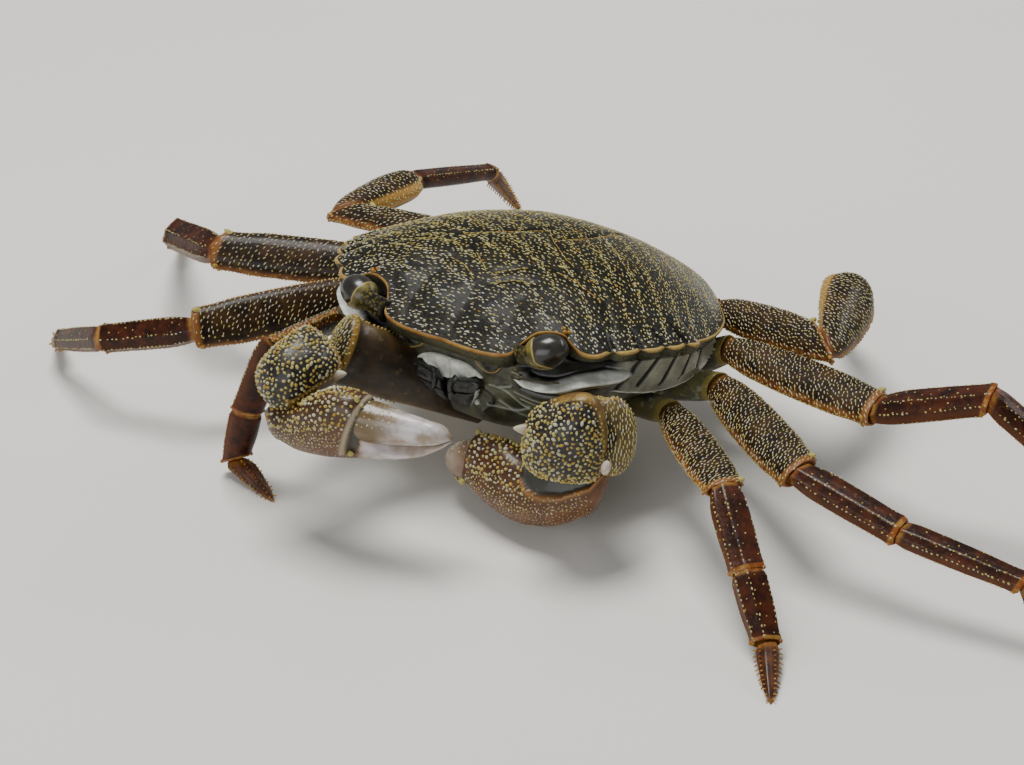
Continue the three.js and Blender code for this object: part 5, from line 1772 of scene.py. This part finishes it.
def paintArm(f):
    f.colour = f.patches(0.25, 4, 0.3, 0.7, "3f331d", "6f5c3a")
    f.layer(f.tag("facing").step(0.2, 0.85), f.patches(0.3, 4, 0.35, 0.7, "1f160d", "3c2c17"))
    f.layer(f.noise(0.8).step(0.58, 0.75) * 0.4, "6f5f3a")
    f.layer(f.tag("collar").step(0.3, 0.8), "8a6a2c")
    f.layer(f.tag("pale"), f.patches(0.9, 3, 0.35, 0.65, "a89c8c", "cbbfb2"))
    f.surface(0.3 + f.noise(1.3) * 0.15, f.noise(2.0, 4), 0.07, 0.3, (0.2, 0.12))


def paintWrist(f):
    f.colour = f.patches(0.5, 4, 0.35, 0.7, "16151a", "302c2c")
    f.layer(f.noise(1.5).step(0.5, 0.68) * 0.6, "4e3f24")
    f.colour = f.blend(f.tag("dome"), f.patches(0.5, 3, 0.3, 0.7, "453317", "6e5427"), f.colour)
    f.layer(f.tag("rim"), f.patches(0.6, 3, 0.35, 0.65, "66491f", "8c7034"))
    f.layer(f.tag("spine").step(0.15, 0.9), "b5ac94")
    f.surface(0.32 + f.noise(1.4) * 0.15, f.noise(2.4, 4), 0.07, 0.3, (0.15, 0.12))


def paintPalm(f):
    f.colour = f.patches(0.4, 3, 0.3, 0.7, "56351a", "6e4829")
    level = f.tag("level") + (f.noise(0.3) - 0.5) * 0.5
    f.layer(level.step(-0.7, 0.0), f.patches(0.6, 3, 0.35, 0.65, "402311", "5b3920"))
    f.layer(level.step(0.1, 0.75) * 0.6, "34241a")
    f.layer(f.tag("fixed"), f.patches(0.35, 3, 0.35, 0.7, "a3907f", "c6bec0"))
    f.layer(f.tag("band"), "958970")
    f.layer(f.tag("rim"), "95662f")
    f.layer(f.tag("slit"), "35352e")
    f.surface(0.32 + f.noise(1.4) * 0.15, f.noise(2.0, 4), 0.06, 0.3, (0.2, 0.12))


def paintFinger(f, root, end, change):
    tip = f.tag("tip") + (f.noise(0.5) - 0.5) * 0.12
    f.colour = f.blend(tip.step(*change), root, f.patches(0.4, 3, 0.3, 0.7, "8b7966", end))
    stretch = {0: f.place, 1: (0.25, 1.0, 1.0)}  # draws the brown streaks out along the finger
    stretched = f.node("ShaderNodeVectorMath", {"operation": "MULTIPLY"}, stretch)
    f.layer(f.noise(1.0, vector=stretched).step(0.56, 0.7) * 0.6, "80664a")
    f.surface(0.26 + f.noise(1.3) * 0.14, f.noise(1.6), 0.04, coat=(0.3, 0.1))


painters = {
    "speckle": paintSpeckle, "bristle": paintBristle, "shell": paintShell,
    "face": paintFace, "belly": paintBelly, "mouth": paintMouth,
    "eye": paintEye, "stalk": paintStalk, "feeler": paintFeeler,
    "hip": paintHip, "thigh": paintThigh, "shin": paintShin,
    "toe": paintToe, "arm": paintArm, "wrist": paintWrist,
    "palm": paintPalm,
}


# Every finish by its name.
def makeFinishes():
    made = {name: Finish(name) for name in (*painters, *fingerLooks)}
    for name, paint in painters.items():
        paint(made[name])
    for name, look in fingerLooks.items():
        paintFinger(made[name], *look)
    return {name: finish.material for name, finish in made.items()}


finishes = makeFinishes()
speckle, bristle = finishes["speckle"], finishes["bristle"]
makeCarapace().make([finishes["shell"], speckle], "shell", "carapace")
makeUnderside().make([finishes["face"]], "face", "underside")
makeAbdomen().make([finishes["belly"]], "belly", "abdomen")
for label in sides:
    makeMaxilliped(label).make([finishes["mouth"]], "mouth", f"maxilliped_{label}")
    makeEye(label).make([finishes["eye"]], "eye", f"eye_{label}")
    makeStalk(label).make([finishes["stalk"]], "stalk", f"eyestalk_{label}")
    makeFeeler(label).make([finishes["feeler"]], "feeler", f"antenna_{label}")
print("body, mouth and eyes made")
legFinishes = {name: [finishes[slot], speckle, bristle] for name, slot in legs["slots"].items()}
for label, leg, hip, turns, roll in legs["stances"]:
    makeLeg(label, leg, hip, turns, roll, legFinishes)
print("legs made")
for label in sides:
    clawFinishes = {name: [finishes[name], speckle] for name in ("palm", "wrist", "arm")}
    clawFinishes["finger"] = [finishes[f"finger{label.capitalize()}"], speckle]
    for make in (makeArm, makeWrist, makePalm, makeFinger):
        make(label, clawFinishes)
print("claws made")
